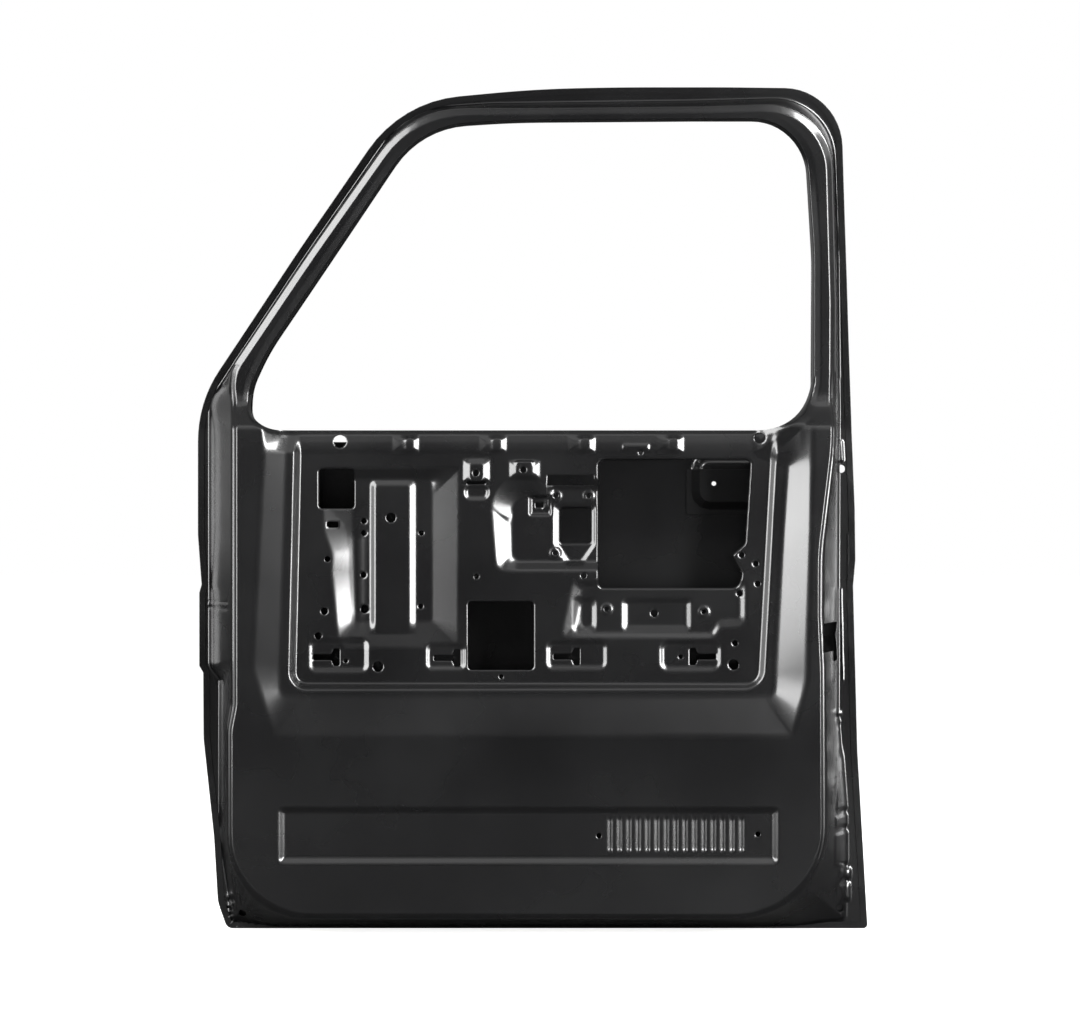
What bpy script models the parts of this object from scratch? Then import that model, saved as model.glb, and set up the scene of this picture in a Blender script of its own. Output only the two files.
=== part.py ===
"""Right-hand door shell of a pickup truck: a stamped inner panel, the outer panel hemmed
round it, and the reinforcements that are spot-welded between them.

X runs from the hinge edge to the latch edge, Y from the cab outwards, Z up.
Every sheet is drawn as an outline with holes in a plane, and a height over that plane
gives it its pressed form. Lengths below are in millimetres."""

import math

import bpy
import numpy as np
from mathutils import Matrix, Vector
from mathutils.geometry import delaunay_2d_cdt

MM = 0.001

# Overall sizes
DOOR_HEIGHT = 1270.0
HALF_WIDTH = 511.0
SPREAD = HALF_WIDTH / 511.0   # the outlines and places below are drawn for a half width of 511
EDGE_Y = 62.0            # outside of the hemmed edge below the belt
FACE_Y = -58.0           # inboard face of the inner panel
BELT_Z = 757.0           # top edge of the inner panel at the window sill
OUTER_BELT_DROP = 13.0   # the outer panel ends this much lower

# Sheet metal and fits
INNER_T = 1.0
OUTER_T = 0.9
HEAVY_T = 1.8
GAP = 0.35               # between sheets that are welded or hemmed together
SLOPE_GAP = 0.6          # the same on the side walls
HEM_WIDTH = 9.0
HEM_BACK = 1.5           # from the outer edge to the edge of the inner flange
TIGHT_HEM = 4.5          # the hem is notched to this width at the sharp bottom corner

# Lean of the window frame towards the cab, straight between the levels
EDGE_LEAN = 0.10
EDGE_LEAN_CURVE = 0.00018
FACE_LEAN = 0.11
FRAME_SET = 34.0         # the frame's face lies this much outboard of the door's face
FRAME_SET_HEIGHT = 53.0  # reached this far above the first level
FIRST_LEVEL = 762.0
LEVELS = (FIRST_LEVEL, FIRST_LEVEL + FRAME_SET_HEIGHT * 0.53, FIRST_LEVEL + FRAME_SET_HEIGHT,
          900.0, 1000.0, 1100.0, 1190.0)

# Window frame section
WINDOW_RETURN_W = 5.0
WINDOW_RETURN = 22.0
SILL_LIP = 3.0
OUTER_RETURN = 10.0

# Access field, cut into the inner panel in two steps
ARMREST_STEP = 16.0
FIELD_STEP = 7.0
FIELD_LEFT = -355.0
FIELD_RIGHT = 360.0
FIELD_BOTTOM = 378.0
BELT_STRIP = 34.0        # height of the sloped strip under the sill
BELT_SET = 30.0          # how far the sill lies outboard of the inboard face
BEAD_W = 8.5

# Pressed depths inside the field
RIB_PAN_DEPTH = 13.0
RIB_DEPTH = 8.0
HANDLE_PAN_DEPTH = 11.0
LOWER_PAN_DEPTH = 5.0
POCKET_DEPTH = 3.5
PAD_RISE = 4.0
TRIM_PANEL_DEPTH = 6.0

# Louvres
LOUVRE_COUNT = 15
LOUVRE_PITCH = 14.0 * SPREAD
LOUVRE_X = 111.0 * SPREAD
LOUVRE_Z = 126.0
LOUVRE_W = 8.0 * SPREAD
LOUVRE_H = 55.0
LOUVRE_RISE = 3.0

# Hinge bolts and plates
BOLT_R = 5.5
BOLT_SPACING = 52.0
UPPER_HINGE_Z = 610.0
LOWER_HINGE_Z = 238.0
PLATE_H = 84.0
PLATE_W = 34.0
PLATE_T = 8.0
CAGE_T = 1.0
CAGE_PLAY = 1.2

# Outer panel
CROWN = 13.0
CROWN_WALL = 60.0
BODY_LINE_Z = 585.0
BODY_LINE_STEP = 3.0
BODY_LINE_W = 6.0
HANDLE_CUP = (244.0 * SPREAD, 640.0, 384.0 * SPREAD, 724.0)
HANDLE_CUP_R = 26.0
HANDLE_CUP_DEPTH = 16.0
HANDLE_CUP_WALL = 12.0

# Drawing limits
ARC_STEP = math.radians(30.0)
ARC_SAG = 1.0
HOLE_SIDES = 10
LONGEST_STEP = 2.2


def spread(places):
    """Corners or places with their x moved out or in with the door's width."""
    return [(place[0] * SPREAD, *place[1:]) for place in places]


def rounded(corners):
    """Closed outline through (x, z, radius) corners, each round one drawn as an arc."""
    points = []
    count = len(corners)
    for i, (x, z, radius) in enumerate(corners):
        here = Vector((x, z))
        back = Vector(corners[i - 1][:2]) - here
        ahead = Vector(corners[(i + 1) % count][:2]) - here
        turn = math.pi - back.angle(ahead)
        if radius <= 0.0 or turn < 0.01:
            points.append(here)
            continue
        reach = min(radius * math.tan(turn / 2), 0.49 * back.length, 0.49 * ahead.length)
        radius = reach / math.tan(turn / 2)
        start = here + back.normalized() * reach
        end = here + ahead.normalized() * reach
        middle = (back.normalized() + ahead.normalized()).normalized()
        centre = here + middle * math.hypot(radius, reach)
        arm = start - centre
        sweep = arm.angle_signed(end - centre)
        step = min(ARC_STEP, 2 * math.acos(max(0.0, 1.0 - ARC_SAG / radius)))
        parts = max(1, round(abs(sweep) / step))
        for k in range(parts + 1):
            spin = Matrix.Rotation(-sweep * k / parts, 2)
            points.append(centre + spin @ arm)
    return [(p.x, p.y) for p in points]


def shifted(corners, inward):
    """Corners of the same counter-clockwise outline, with every side moved inwards."""
    moved = []
    count = len(corners)
    for i, (x, z, radius) in enumerate(corners):
        here = Vector((x, z))
        before = (here - Vector(corners[i - 1][:2])).normalized()
        after = (Vector(corners[(i + 1) % count][:2]) - here).normalized()
        left_before = Vector((-before.y, before.x))
        left_after = Vector((-after.y, after.x))
        bisector = left_before + left_after
        scale = inward / (1.0 + left_before.dot(left_after))
        point = here + bisector * scale
        convex = before.cross(after) > 0
        radius = max(0.0, radius - inward if convex else radius + inward) if radius else 0.0
        moved.append((point.x, point.y, radius))
    return moved


def box(x0, z0, x1, z1, radius=0.0):
    """Corners of an upright rectangle."""
    return [(x0, z0, radius), (x1, z0, radius), (x1, z1, radius), (x0, z1, radius)]


def circle(x, z, radius, sides=HOLE_SIDES, squeeze=1.0):
    """Points of a circle, or of an ellipse squeezed along x."""
    angles = [2 * math.pi * (k + 0.5) / sides for k in range(sides)]
    return [(x + squeeze * radius * math.cos(a), z + radius * math.sin(a)) for a in angles]


def edge_distance(x, z, loop):
    """Distance from each point to a closed loop."""
    a = np.array(loop)
    b = np.roll(a, -1, axis=0)
    side = b - a
    px = x[:, None] - a[:, 0]
    pz = z[:, None] - a[:, 1]
    share = (px * side[:, 0] + pz * side[:, 1]) / np.maximum((side ** 2).sum(1), 1e-12)
    share = np.clip(share, 0.0, 1.0)
    return np.sqrt((px - share * side[:, 0]) ** 2 + (pz - share * side[:, 1]) ** 2).min(1)


def inside(x, z, loop):
    """Whether each point is inside a closed loop, by counting crossings."""
    a = np.array(loop)
    b = np.roll(a, -1, axis=0)
    rise = np.where(b[:, 1] == a[:, 1], 1e-12, b[:, 1] - a[:, 1])
    straddles = (a[:, 1] > z[:, None]) != (b[:, 1] > z[:, None])
    cross_x = a[:, 0] + (z[:, None] - a[:, 1]) * (b[:, 0] - a[:, 0]) / rise
    return (straddles & (x[:, None] < cross_x)).sum(1) % 2 == 1


def ramp(x, z, foot, top):
    """0 outside the foot loop, 1 inside the top loop, and a straight slope between."""
    to_foot = edge_distance(x, z, foot)
    to_top = edge_distance(x, z, top)
    share = to_foot / np.maximum(to_foot + to_top, 1e-9)
    share = np.where(inside(x, z, foot), share, 0.0)
    return np.where(inside(x, z, top), 1.0, share)


def form(corners, wall):
    """The foot and top loops of a pressed form whose wall is equally wide all round."""
    return rounded(corners), rounded(shifted(corners, wall))


def divided(loop, step):
    """The same closed loop, with its long sides cut into equal shorter ones."""
    points = []
    for k, (x, z) in enumerate(loop):
        end_x, end_z = loop[(k + 1) % len(loop)]
        parts = math.ceil(math.hypot(end_x - x, end_z - z) / step)
        points += [(x + (end_x - x) * i / parts, z + (end_z - z) * i / parts)
                   for i in range(parts)]
    return points


def cut_at_levels(loop):
    """The same closed loop, with a point wherever it crosses one of the levels."""
    points = []
    for k, (x, z) in enumerate(loop):
        end_x, end_z = loop[(k + 1) % len(loop)]
        points.append((x, z))
        crossed = [h for h in LEVELS if min(z, end_z) + 0.01 < h < max(z, end_z) - 0.01]
        for height in sorted(crossed, reverse=end_z < z):
            points.append((x + (end_x - x) * (height - z) / (end_z - z), height))
    return points


def keyhole(x, z, facing=1):
    """A narrow slot with a wide head, for a trim hook; facing is the head's side."""
    half, head, length = 4.5, 13.0, 27.0
    corners = [(0, -half, 0), (length, -half, 0), (length + 4, -head, 2), (length + 12, -head, 2),
               (length + 12, head, 2), (length + 4, head, 2), (length, half, 0), (0, half, 0)]
    if facing < 0:
        corners = [(-cx, cz, r) for cx, cz, r in reversed(corners)]
    return rounded([(x + cx, z + cz, r) for cx, cz, r in corners])


# Outline of the door, counter-clockwise from the front bottom corner
OUTLINE = spread([
    (-466, 0, 12), (495, 0, 0), (511, 0, 6), (510, 16, 0),
    (495, 270, 260), (488.5, 522, 0), (492, 562, 0), (491, 640, 200), (485, 790, 300),
    (476, 990, 500), (460, DOOR_HEIGHT, 95), (200, DOOR_HEIGHT, 1200),
    (-20, DOOR_HEIGHT - 5, 600), (-199, DOOR_HEIGHT - 25, 115), (-506, 806, 110),
    (-511, 600, 120), (-505, 524, 0), (-508.5, 512, 0), (-508.5, 400, 0),
    (-502.5, 390, 0), (-502, 290, 120), (-486, 140, 150), (-480, 40, 60)])

# Foot of the side walls, where they meet the weld flange
WALL_FOOT = spread([
    (-461, 14, 8), (478, 14, 8), (476, 190, 80), (465, 330, 100), (466, 800, 200),
    (461, 1031, 500), (448, DOOR_HEIGHT - 14, 90), (240, DOOR_HEIGHT - 19, 500),
    (-60, DOOR_HEIGHT - 23, 500), (-188, DOOR_HEIGHT - 34, 215),
    (-492, 797, 60), (-492, 400, 20), (-476, 380, 20), (-476, 145, 60), (-464, 60, 60)])

# Edge of the inboard face, where the side walls start
FACE_EDGE = spread([
    (-449, 34, 118), (431, 34, 130), (431, 400, 200), (427, 480, 150), (427, 590, 100),
    (446, 750, 120), (444, 950, 500), (435, DOOR_HEIGHT - 37, 98), (250, DOOR_HEIGHT - 43, 600),
    (-20, DOOR_HEIGHT - 45.5, 500), (-174, DOOR_HEIGHT - 45.5, 205), (-448, 837, 60),
    (-442, 760, 200), (-442, 345, 60), (-449, 310, 60)])

WINDOW = spread([
    (-477, BELT_Z, 52), (420, BELT_Z, 80), (418, 1020, 500), (403, DOOR_HEIGHT - 53, 82),
    (240, DOOR_HEIGHT - 53, 700), (-20, DOOR_HEIGHT - 55.5, 500), (-167, DOOR_HEIGHT - 70, 165)])

# The two steps down to the access field; both run up past the sill
ARMREST_FOOT = spread([
    (-386, 301, 10), (388, 301, 10), (410, 384, 60), (417, 700, 40), (419, BELT_Z + 20, 0),
    (-402, BELT_Z + 20, 0), (-402, 716, 40), (-418, 402, 40)])
ARMREST_TOP = spread([
    (-376, 359, 12), (361, 359, 12), (361, 401, 60), (380, 700, 40), (383, BELT_Z + 20, 0),
    (-363, BELT_Z + 20, 0), (-366, 716, 40), (-376, 401, 40)])
FIELD = spread([
    (FIELD_LEFT - 9, FIELD_BOTTOM - 9, 26), (FIELD_RIGHT - 14, FIELD_BOTTOM - 9, 30),
    (FIELD_RIGHT + 8, BELT_Z + 20, 0), (FIELD_LEFT, BELT_Z + 20, 0)])


def bend(z, rule):
    """A rule for the height over the first level, made straight between the levels."""
    heights = np.array([*LEVELS, DOOR_HEIGHT])
    return np.interp(z, heights, rule(heights - LEVELS[0]))


def outer_edge_y(z):
    """Outside of the door along its hemmed edge."""
    return EDGE_Y - bend(z, lambda rise: EDGE_LEAN * rise + EDGE_LEAN_CURVE * rise ** 2)


def flange_y(z):
    """Inboard side of the inner panel's weld flange."""
    return outer_edge_y(z) - OUTER_T - GAP - INNER_T


def face_y(z):
    """Inboard face of the inner panel, before anything is pressed into it."""
    return FACE_Y + bend(z, lambda rise: FRAME_SET * np.minimum(rise / FRAME_SET_HEIGHT, 1.0)
                         - FACE_LEAN * np.maximum(rise - FRAME_SET_HEIGHT, 0.0))


SIDE_WALLS = (rounded(WALL_FOOT), rounded(FACE_EDGE))
ARMREST = (rounded(ARMREST_FOOT), rounded(ARMREST_TOP))
FIELD_LOOPS = form(FIELD, BEAD_W)
WINDOW_LOOP = rounded(WINDOW)
WINDOW_BAND = rounded(shifted(WINDOW, -WINDOW_RETURN_W))

RIB_PAN = (
    rounded(spread([(-318, 700, 0), (-313, 606, 20), (-301, 572, 20), (-302, 545, 20), (-292, 445, 6),
             (-280, 431, 6), (-111, 431, 4), (-110, 700, 6)])),
    rounded(spread([(-270, 684, 6), (-268, 590, 20), (-264, 480, 4), (-152, 481, 4), (-152, 684, 6)])))
RIB = (rounded(spread([(-247, 452, 0), (-175, 452, 0), (-175, 684, 10), (-247, 684, 10)])),
       rounded(spread([(-237, 452, 0), (-187, 452, 0), (-187, 674, 4), (-237, 674, 4)])))
HANDLE_PAN = (
    rounded(spread([(-66, 645, 10), (-54, 546, 14), (112, 546, 0), (112, 683, 0), (-14, 683, 24)])),
    rounded(spread([(-31, 637, 12), (-30, 561, 12), (112, 561, 0), (112, 668, 0), (22, 668, 10)])))
LOWER_PAN = (
    rounded(spread([(42, 446, 10), (272, 446, 10), (284, 462, 8), (320, 464, 10), (320, 533, 10),
             (60, 533, 10)])),
    rounded(spread([(54, 453, 8), (266, 453, 8), (276, 473, 8), (309, 475, 8), (309, 524, 8),
             (70, 524, 8)])))

# Pockets, as boxes with their depth; positive goes outboard
POCKETS = [
    (box(-336, 394, -245, 446, 12), 7.5, POCKET_DEPTH),
    (box(-160, 398, -99, 426, 8), 6.0, POCKET_DEPTH),
    (box(20, 398, 112, 443, 12), 7.0, POCKET_DEPTH),
    (box(190, 396, 283, 443, 14), 7.0, POCKET_DEPTH),
    (box(133, 455, 239, 507, 10), 10.0, LOWER_PAN_DEPTH),
    (box(62, 455, 97, 508, 8), 9.0, LOWER_PAN_DEPTH)]
PADS = [
    (box(-211, 722, -169, 749, 5), 6.0, -PAD_RISE),
    (box(-81, 722, -38, 749, 5), 6.0, -PAD_RISE),
    (box(51, 722, 95, 749, 5), 6.0, -PAD_RISE),
    (box(184, 722, 227, 749, 5), 6.0, -PAD_RISE),
    (box(-104, 680, -63, 715, 6), 6.5, -PAD_RISE - 3),
    (box(-36, 685, 11, 711, 6), 6.0, -PAD_RISE - 3)]
TRIM_PANEL = (box(-379, 110, 366, 195, 7), 9.0, TRIM_PANEL_DEPTH)


def louvre_boxes():
    """The row of louvres, each a small raised rib."""
    for i in range(LOUVRE_COUNT):
        left = LOUVRE_X + i * LOUVRE_PITCH
        yield box(left, LOUVRE_Z, left + LOUVRE_W, LOUVRE_Z + LOUVRE_H)


ADDED_FORMS = [(form(spread(corners), wall), depth) for corners, wall, depth in
               [TRIM_PANEL] + POCKETS + PADS]
ADDED_FORMS += [(form(corners, LOUVRE_W * 0.33), -LOUVRE_RISE) for corners in louvre_boxes()]

# Holes of the inner panel: big openings, keyhole slots, small holes
BIG_HOLES = [
    box(-320, 640, -268, 699, 5), box(-97, 398, 2, 501, 6), box(42, 588, 87, 640, 4),
    [(99, 521, 8), (307, 521, 12), (314, 542, 14), (299, 570, 3), (318, 587, 10), (326, 713, 8),
     (99, 713, 10)]]
SLOT_HOLES = [box(22, 674, 92, 690, 2), box(-308, 611, -291, 620, 3)]
KEYHOLES = spread([(-329, 417, 1), (-148, 416, 1), (31, 418, 1), (275, 418, -1)])
ROUND_HOLES = spread([
    (-253, 621, 4.5), (-253, 603, 4.5), (-254, 540, 4.5), (-307, 564, 4.5), (-252, 489, 6.5),
    (-312, 486, 5.5), (-321, 449, 5.5), (-212.5, 626, 7.5), (-167, 603, 4), (-168, 493, 4),
    (-84, 538, 4), (-47, 388, 3.5), (76.5, 539, 4.5), (313, 570, 4.5), (334, 557, 4.5),
    (337, 527, 4.5), (310, 512, 4.5), (303, 438, 4.5), (301, 406, 8), (-231.5, 403, 8),
    (-280, 411.5, 3.5), (222, 417.5, 3.5), (-85, 693, 5), (-14, 698, 5), (182.5, 482.5, 5.5),
    (162, 723.5, 3.5), (-288.5, 740, 9.8), (340, 741, 8.5), (99, 151.5, 4), (336, 154, 4)])
NUT_PLACES = spread([(35, 659), (84, 659), (34, 573), (111, 489), (256.5, 485)])
NUT_HOLE_R = 4.0
CORNER_HOLES = spread([(-440, 27, 6), (468, 32, 6)])
LATCH_HOLE = spread(box(434, 425, 458, 469, 2))


def window_return(x, z):
    """How far the edge of the window opening is turned outboard."""
    share = np.clip(1.0 - edge_distance(x, z, WINDOW_LOOP) / WINDOW_RETURN_W, 0.0, 1.0)
    upper = np.clip((z - BELT_Z - 10.0) / 40.0, 0.0, 1.0)
    return share * (SILL_LIP + (WINDOW_RETURN - SILL_LIP) * upper)


def inner_y(x, z):
    """Height of the inner panel's inboard side over the door's plane."""
    wall = ramp(x, z, *SIDE_WALLS)
    y = flange_y(z) + wall * (face_y(z) - flange_y(z))
    armrest = ramp(x, z, *ARMREST)
    y = y + armrest * ARMREST_STEP
    field = ramp(x, z, *FIELD_LOOPS)
    y = y + field * FIELD_STEP
    strip = np.clip((z - BELT_Z + BELT_STRIP) / BELT_STRIP, 0.0, 1.0)
    y = y + strip * armrest * (FACE_Y + BELT_SET - y)
    level = FACE_Y + ARMREST_STEP + FIELD_STEP
    y = y + ramp(x, z, *RIB_PAN) * RIB_PAN_DEPTH
    y = y + ramp(x, z, *RIB) * (np.minimum(y, level + RIB_DEPTH) - y)
    y = y + ramp(x, z, *HANDLE_PAN) * HANDLE_PAN_DEPTH
    y = y + ramp(x, z, *LOWER_PAN) * LOWER_PAN_DEPTH
    for loops, depth in ADDED_FORMS:
        y = y + ramp(x, z, *loops) * depth
    return y + window_return(x, z)


def crown(x, z):
    """Bulge of the outer panel over its flat edge."""
    across = np.clip(1.0 - (x / HALF_WIDTH) ** 2, 0.0, 1.0)
    up = np.clip(z / BELT_Z, 0.0, 1.15)
    return CROWN * np.sqrt(across) * 4.0 * up * (1.15 - up)


CROWN_FOOT = spread([(-455, 16, 0), (482, 16, 0), (462, 300, 0), (458, 560, 0), (456, 800, 0),
                     (-478, 800, 0), (-482, 560, 0), (-470, 250, 0)])
CROWN_LOOPS = tuple(divided(loop, 66.0) for loop in form(CROWN_FOOT, CROWN_WALL))
CUP = form(box(*HANDLE_CUP, HANDLE_CUP_R), HANDLE_CUP_WALL)
OUTER_WINDOW = [(x, z - OUTER_BELT_DROP if z == BELT_Z else z, r) for x, z, r in WINDOW]
OUTER_WINDOW_LOOP = divided(rounded(OUTER_WINDOW), 66.0)
OUTER_WINDOW_BAND = divided(rounded(shifted(OUTER_WINDOW, -WINDOW_RETURN_W)), 66.0)


def outer_y(x, z):
    """Height of the outer panel's outside."""
    free = ramp(x, z, *CROWN_LOOPS)
    below = np.clip((BODY_LINE_Z - z) / BODY_LINE_W, 0.0, 1.0) * np.clip((z - 60) / 200, 0.0, 1.0)
    y = outer_edge_y(z) + free * (crown(x, z) - BODY_LINE_STEP * below)
    y = y - ramp(x, z, *CUP) * HANDLE_CUP_DEPTH
    turned = np.clip(1.0 - edge_distance(x, z, OUTER_WINDOW_LOOP) / WINDOW_RETURN_W, 0.0, 1.0)
    return y - turned * OUTER_RETURN


def triangulate(loops, lines, extra):
    """Points and triangles of the first loop less the other loops, with lines kept as edges."""
    points = []
    edges = []
    for loop in loops + lines[0]:
        first = len(points)
        points += loop
        edges += [(first + k, first + (k + 1) % len(loop)) for k in range(len(loop))]
    for line in lines[1]:
        first = len(points)
        points += line
        edges += [(first + k, first + k + 1) for k in range(len(line) - 1)]
    points += extra
    result = delaunay_2d_cdt([Vector(p) for p in points], edges, [], 0, 2e-3)
    flat = np.array([tuple(v) for v in result[0]])
    tris = np.array([list(f) for f in result[2]])
    a, b, c = (flat[tris[:, k]] for k in range(3))
    turn = (b[:, 0] - a[:, 0]) * (c[:, 1] - a[:, 1]) - (b[:, 1] - a[:, 1]) * (c[:, 0] - a[:, 0])
    longest = np.linalg.norm([a - b, b - c, c - a], axis=2).max(0)
    tris = np.where((turn < 0)[:, None], tris[:, ::-1], tris)
    middle = (a + b + c) / 3
    keep = inside(middle[:, 0], middle[:, 1], loops[0]) & (np.abs(turn) > 1e-3 * longest)
    for hole in loops[1:]:
        keep &= ~inside(middle[:, 0], middle[:, 1], hole)
    tris = tris[keep]
    used, tris = np.unique(tris, return_inverse=True)
    return flat[used], tris.reshape(-1, 3)


def rim_edges(tris):
    """Directed edges that only one triangle uses."""
    seen = {}
    for a, b, c in tris.tolist():
        for edge in ((a, b), (b, c), (c, a)):
            seen[edge] = True
    return [edge for edge in seen if (edge[1], edge[0]) not in seen]


def add_object(name, points, faces, material):
    """A new object from points in millimetres and faces."""
    mesh = bpy.data.meshes.new(name)
    mesh.from_pydata([tuple(p) for p in (np.array(points) * MM).tolist()], [], faces)
    mesh.materials.append(material)
    mesh.update()
    obj = bpy.data.objects.new(name, mesh)
    bpy.context.scene.collection.objects.link(obj)
    return obj


def even_offsets(points, tris):
    """For each point, the step that moves every face round it by one unit outboard."""
    a, b, c = (points[tris[:, k]] for k in range(3))
    normal = np.cross(b - a, c - a)
    normal /= np.maximum(np.linalg.norm(normal, axis=1), 1e-12)[:, None]
    normal *= np.where(normal[:, 1] < 0, -1.0, 1.0)[:, None]
    pull = np.tile(np.eye(3) * 2e-3, (len(points), 1, 1))
    push = np.zeros((len(points), 3))
    for k in range(3):
        one, two, three = (points[tris[:, (k + i) % 3]] for i in range(3))
        u, v = two - one, three - one
        cosine = (u * v).sum(1) / np.maximum(np.linalg.norm(u, axis=1) * np.linalg.norm(v, axis=1),
                                             1e-12)
        weight = np.arccos(np.clip(cosine, -1.0, 1.0))
        outer = normal[:, :, None] * normal[:, None, :] * weight[:, None, None]
        np.add.at(pull, tris[:, k], outer)
        np.add.at(push, tris[:, k], normal * weight[:, None])
    step = np.linalg.solve(pull, push[:, :, None])[:, :, 0]
    length = np.linalg.norm(step, axis=1)
    return step * (np.minimum(length, LONGEST_STEP) / length)[:, None]


def sheet(name, loops, height, start, thickness, material, creases=((), ()), extra=()):
    """A closed pressed sheet over a height: it begins start behind it, and loops are its
    outline and holes."""
    flat, tris = triangulate(list(loops), (list(creases[0]), list(creases[1])), list(extra))
    surface = np.column_stack((flat[:, 0], height(flat[:, 0], flat[:, 1]), flat[:, 1]))
    step = even_offsets(surface, tris)
    near, far = surface + start * step, surface + (start + thickness) * step
    if thickness < 0:
        near, far = far, near
    count = len(flat)
    faces = [tuple(t) for t in tris.tolist()]
    faces += [(c + count, b + count, a + count) for a, b, c in tris.tolist()]
    faces += [(b, a, a + count, b + count) for a, b in rim_edges(tris)]
    return add_object(name, np.vstack((near, far)), faces, material)


def slope_x(height, x, z):
    """Slope of a surface along x at one place."""
    step = 2.0
    px, pz = np.array([x - step, x + step]), np.array([z, z])
    low, high = height(px, pz)
    return float(high - low) / (2 * step)


def hinge_holes(height, x, centre_z, slack=0.0):
    """Two bolt holes, round on the slope where they sit."""
    squeeze = 1 / math.hypot(1.0, slope_x(height, x, centre_z))
    return [circle(x, centre_z + side * BOLT_SPACING / 2, BOLT_R + slack, HOLE_SIDES, squeeze)
            for side in (-1, 1)]


UPPER_BOLT_X = -471.0 * SPREAD
LOWER_BOLT_X = -465.0 * SPREAD
LEVEL_LINES = [[(-HALF_WIDTH - 20, h), (HALF_WIDTH + 20, h)] for h in LEVELS]
HINGES = {"upper": (UPPER_BOLT_X, UPPER_HINGE_Z), "lower": (LOWER_BOLT_X, LOWER_HINGE_Z)}


def make_inner_panel(metal):
    """The inner stamping, with every form, hole and flange."""
    outline = rounded(shifted(OUTLINE, HEM_BACK))
    holes = [rounded(spread(c)) for c in BIG_HOLES + SLOT_HOLES]
    holes += [keyhole(*k) for k in KEYHOLES]
    holes += [circle(*h) for h in ROUND_HOLES]
    holes += [circle(x, z, NUT_HOLE_R) for x, z in NUT_PLACES]
    holes += [circle(*h, 8) for h in CORNER_HOLES] + [rounded(LATCH_HOLE)]
    for x, z in HINGES.values():
        holes += hinge_holes(inner_y, x, z)
    closed = [*SIDE_WALLS, *ARMREST, *FIELD_LOOPS, *RIB_PAN, *HANDLE_PAN, *LOWER_PAN, WINDOW_BAND]
    closed += [loop for loops, depth in ADDED_FORMS for loop in loops]
    left, right = ARMREST_FOOT[-2][0], ARMREST_FOOT[3][0]
    open_lines = [[(left, BELT_Z - BELT_STRIP), (right, BELT_Z - BELT_STRIP)]]
    open_lines += [rib_side(loop) for loop in RIB]
    open_lines += LEVEL_LINES
    sheet("inner_panel", [outline, WINDOW_LOOP, *holes], inner_y, 0.0, INNER_T, metal,
          (closed, open_lines))


def rib_side(loop):
    """The rib's loop as an open line, without its bottom side on the pan's ramp."""
    return list(loop[1:]) + [loop[0]]


def hem_rings():
    """The rings of the hem, outside to inside, each with the same number of points."""
    outer = cut_at_levels(divided(rounded(OUTLINE), 120.0))
    tight = set(rounded(OUTLINE[1:4])[1:-1])
    rings = [], []
    for k, point in enumerate(outer):
        here = Vector(point)
        before = (here - Vector(outer[k - 1])).normalized()
        after = (Vector(outer[(k + 1) % len(outer)]) - here).normalized()
        along = (before + after).normalized()
        inward = Vector((-along.y, along.x)) / max(along.dot(after), 0.5)
        if point[1] in LEVELS:
            inward = Vector((1.0 / inward.x, 0.0))
        lip_width = HEM_WIDTH if point not in tight else TIGHT_HEM
        for ring, width in zip(rings, (OUTER_T, lip_width)):
            ring.append(tuple(here + inward * width))
    return outer, *rings


OUTER_HOLES = [circle(HANDLE_CUP[0] + 32, 678, 5), circle(HANDLE_CUP[2] - 32, 678, 5),
               circle(HANDLE_CUP[2] - 4, HANDLE_CUP[1] - 46, 13, 14)]
MIRROR_BOLTS = spread([(-402, 690), (-366, 664), (-402, 640)])
MIRROR_PLATE = spread([(-425, 615, 12), (-345, 640, 12), (-345, 690, 12), (-425, 715, 12)])
BELT_HAT = (-306.0 * SPREAD, 716.0, 226.0 * SPREAD, 733.0)
BELT_HAT_DEPTH = 5.0

# Outline and inner points of the pieces that lie against the outer panel
PATCHES = {
    "handle": (divided(rounded(box(HANDLE_CUP[0] - 9, HANDLE_CUP[1] - 9, HANDLE_CUP[2] - 18,
                                   HANDLE_CUP[3] - 24, 4)), 40.0),
               spread([(270, 666), (304, 678), (338, 666)])),
    "mirror": (divided(rounded(MIRROR_PLATE), 40.0), spread([(-385, 677), (-390, 650)])),
    "belt": (divided(rounded(box(*BELT_HAT, 3)), 44.0), [])}


def make_outer_panel(metal):
    """The outer stamping, its edge folded round the flange of the inner panel."""
    outside, fold, lip = hem_rings()
    holes = [OUTER_WINDOW_LOOP, *OUTER_HOLES] + [circle(x, z, 4, 8) for x, z in MIRROR_BOLTS]
    closed = [*CUP, *CROWN_LOOPS, OUTER_WINDOW_BAND] + [loop for loop, inner in PATCHES.values()]
    lines = [spread([(x, z) for x in range(-490, 471, 64)])
             for z in (BODY_LINE_Z, BODY_LINE_Z - BODY_LINE_W)]
    lines += LEVEL_LINES
    heights = (88, 154, 220, 286, 352, 418, 484, 540, 640)
    grid = spread([(x, z) for x in range(-390, 400, 65) for z in heights])
    grid = [(x, z) for x, z in grid if (x > -330 * SPREAD or z < 600)
            and not (x > HANDLE_CUP[0] - 20 and z > HANDLE_CUP[1] - 60)]
    grid += [point for loop, inner in PATCHES.values() for point in inner]
    sides = [triangulate([ring, *holes], (closed, lines), grid) for ring in (outside, fold)]
    surfaces = []
    for (flat, tris), start in zip(sides, (0.0, -OUTER_T)):
        surface = np.column_stack((flat[:, 0], outer_y(flat[:, 0], flat[:, 1]), flat[:, 1]))
        surfaces.append(surface + start * even_offsets(surface, tris))
    build_hemmed(sides, surfaces, outside, fold, lip, metal)


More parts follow.
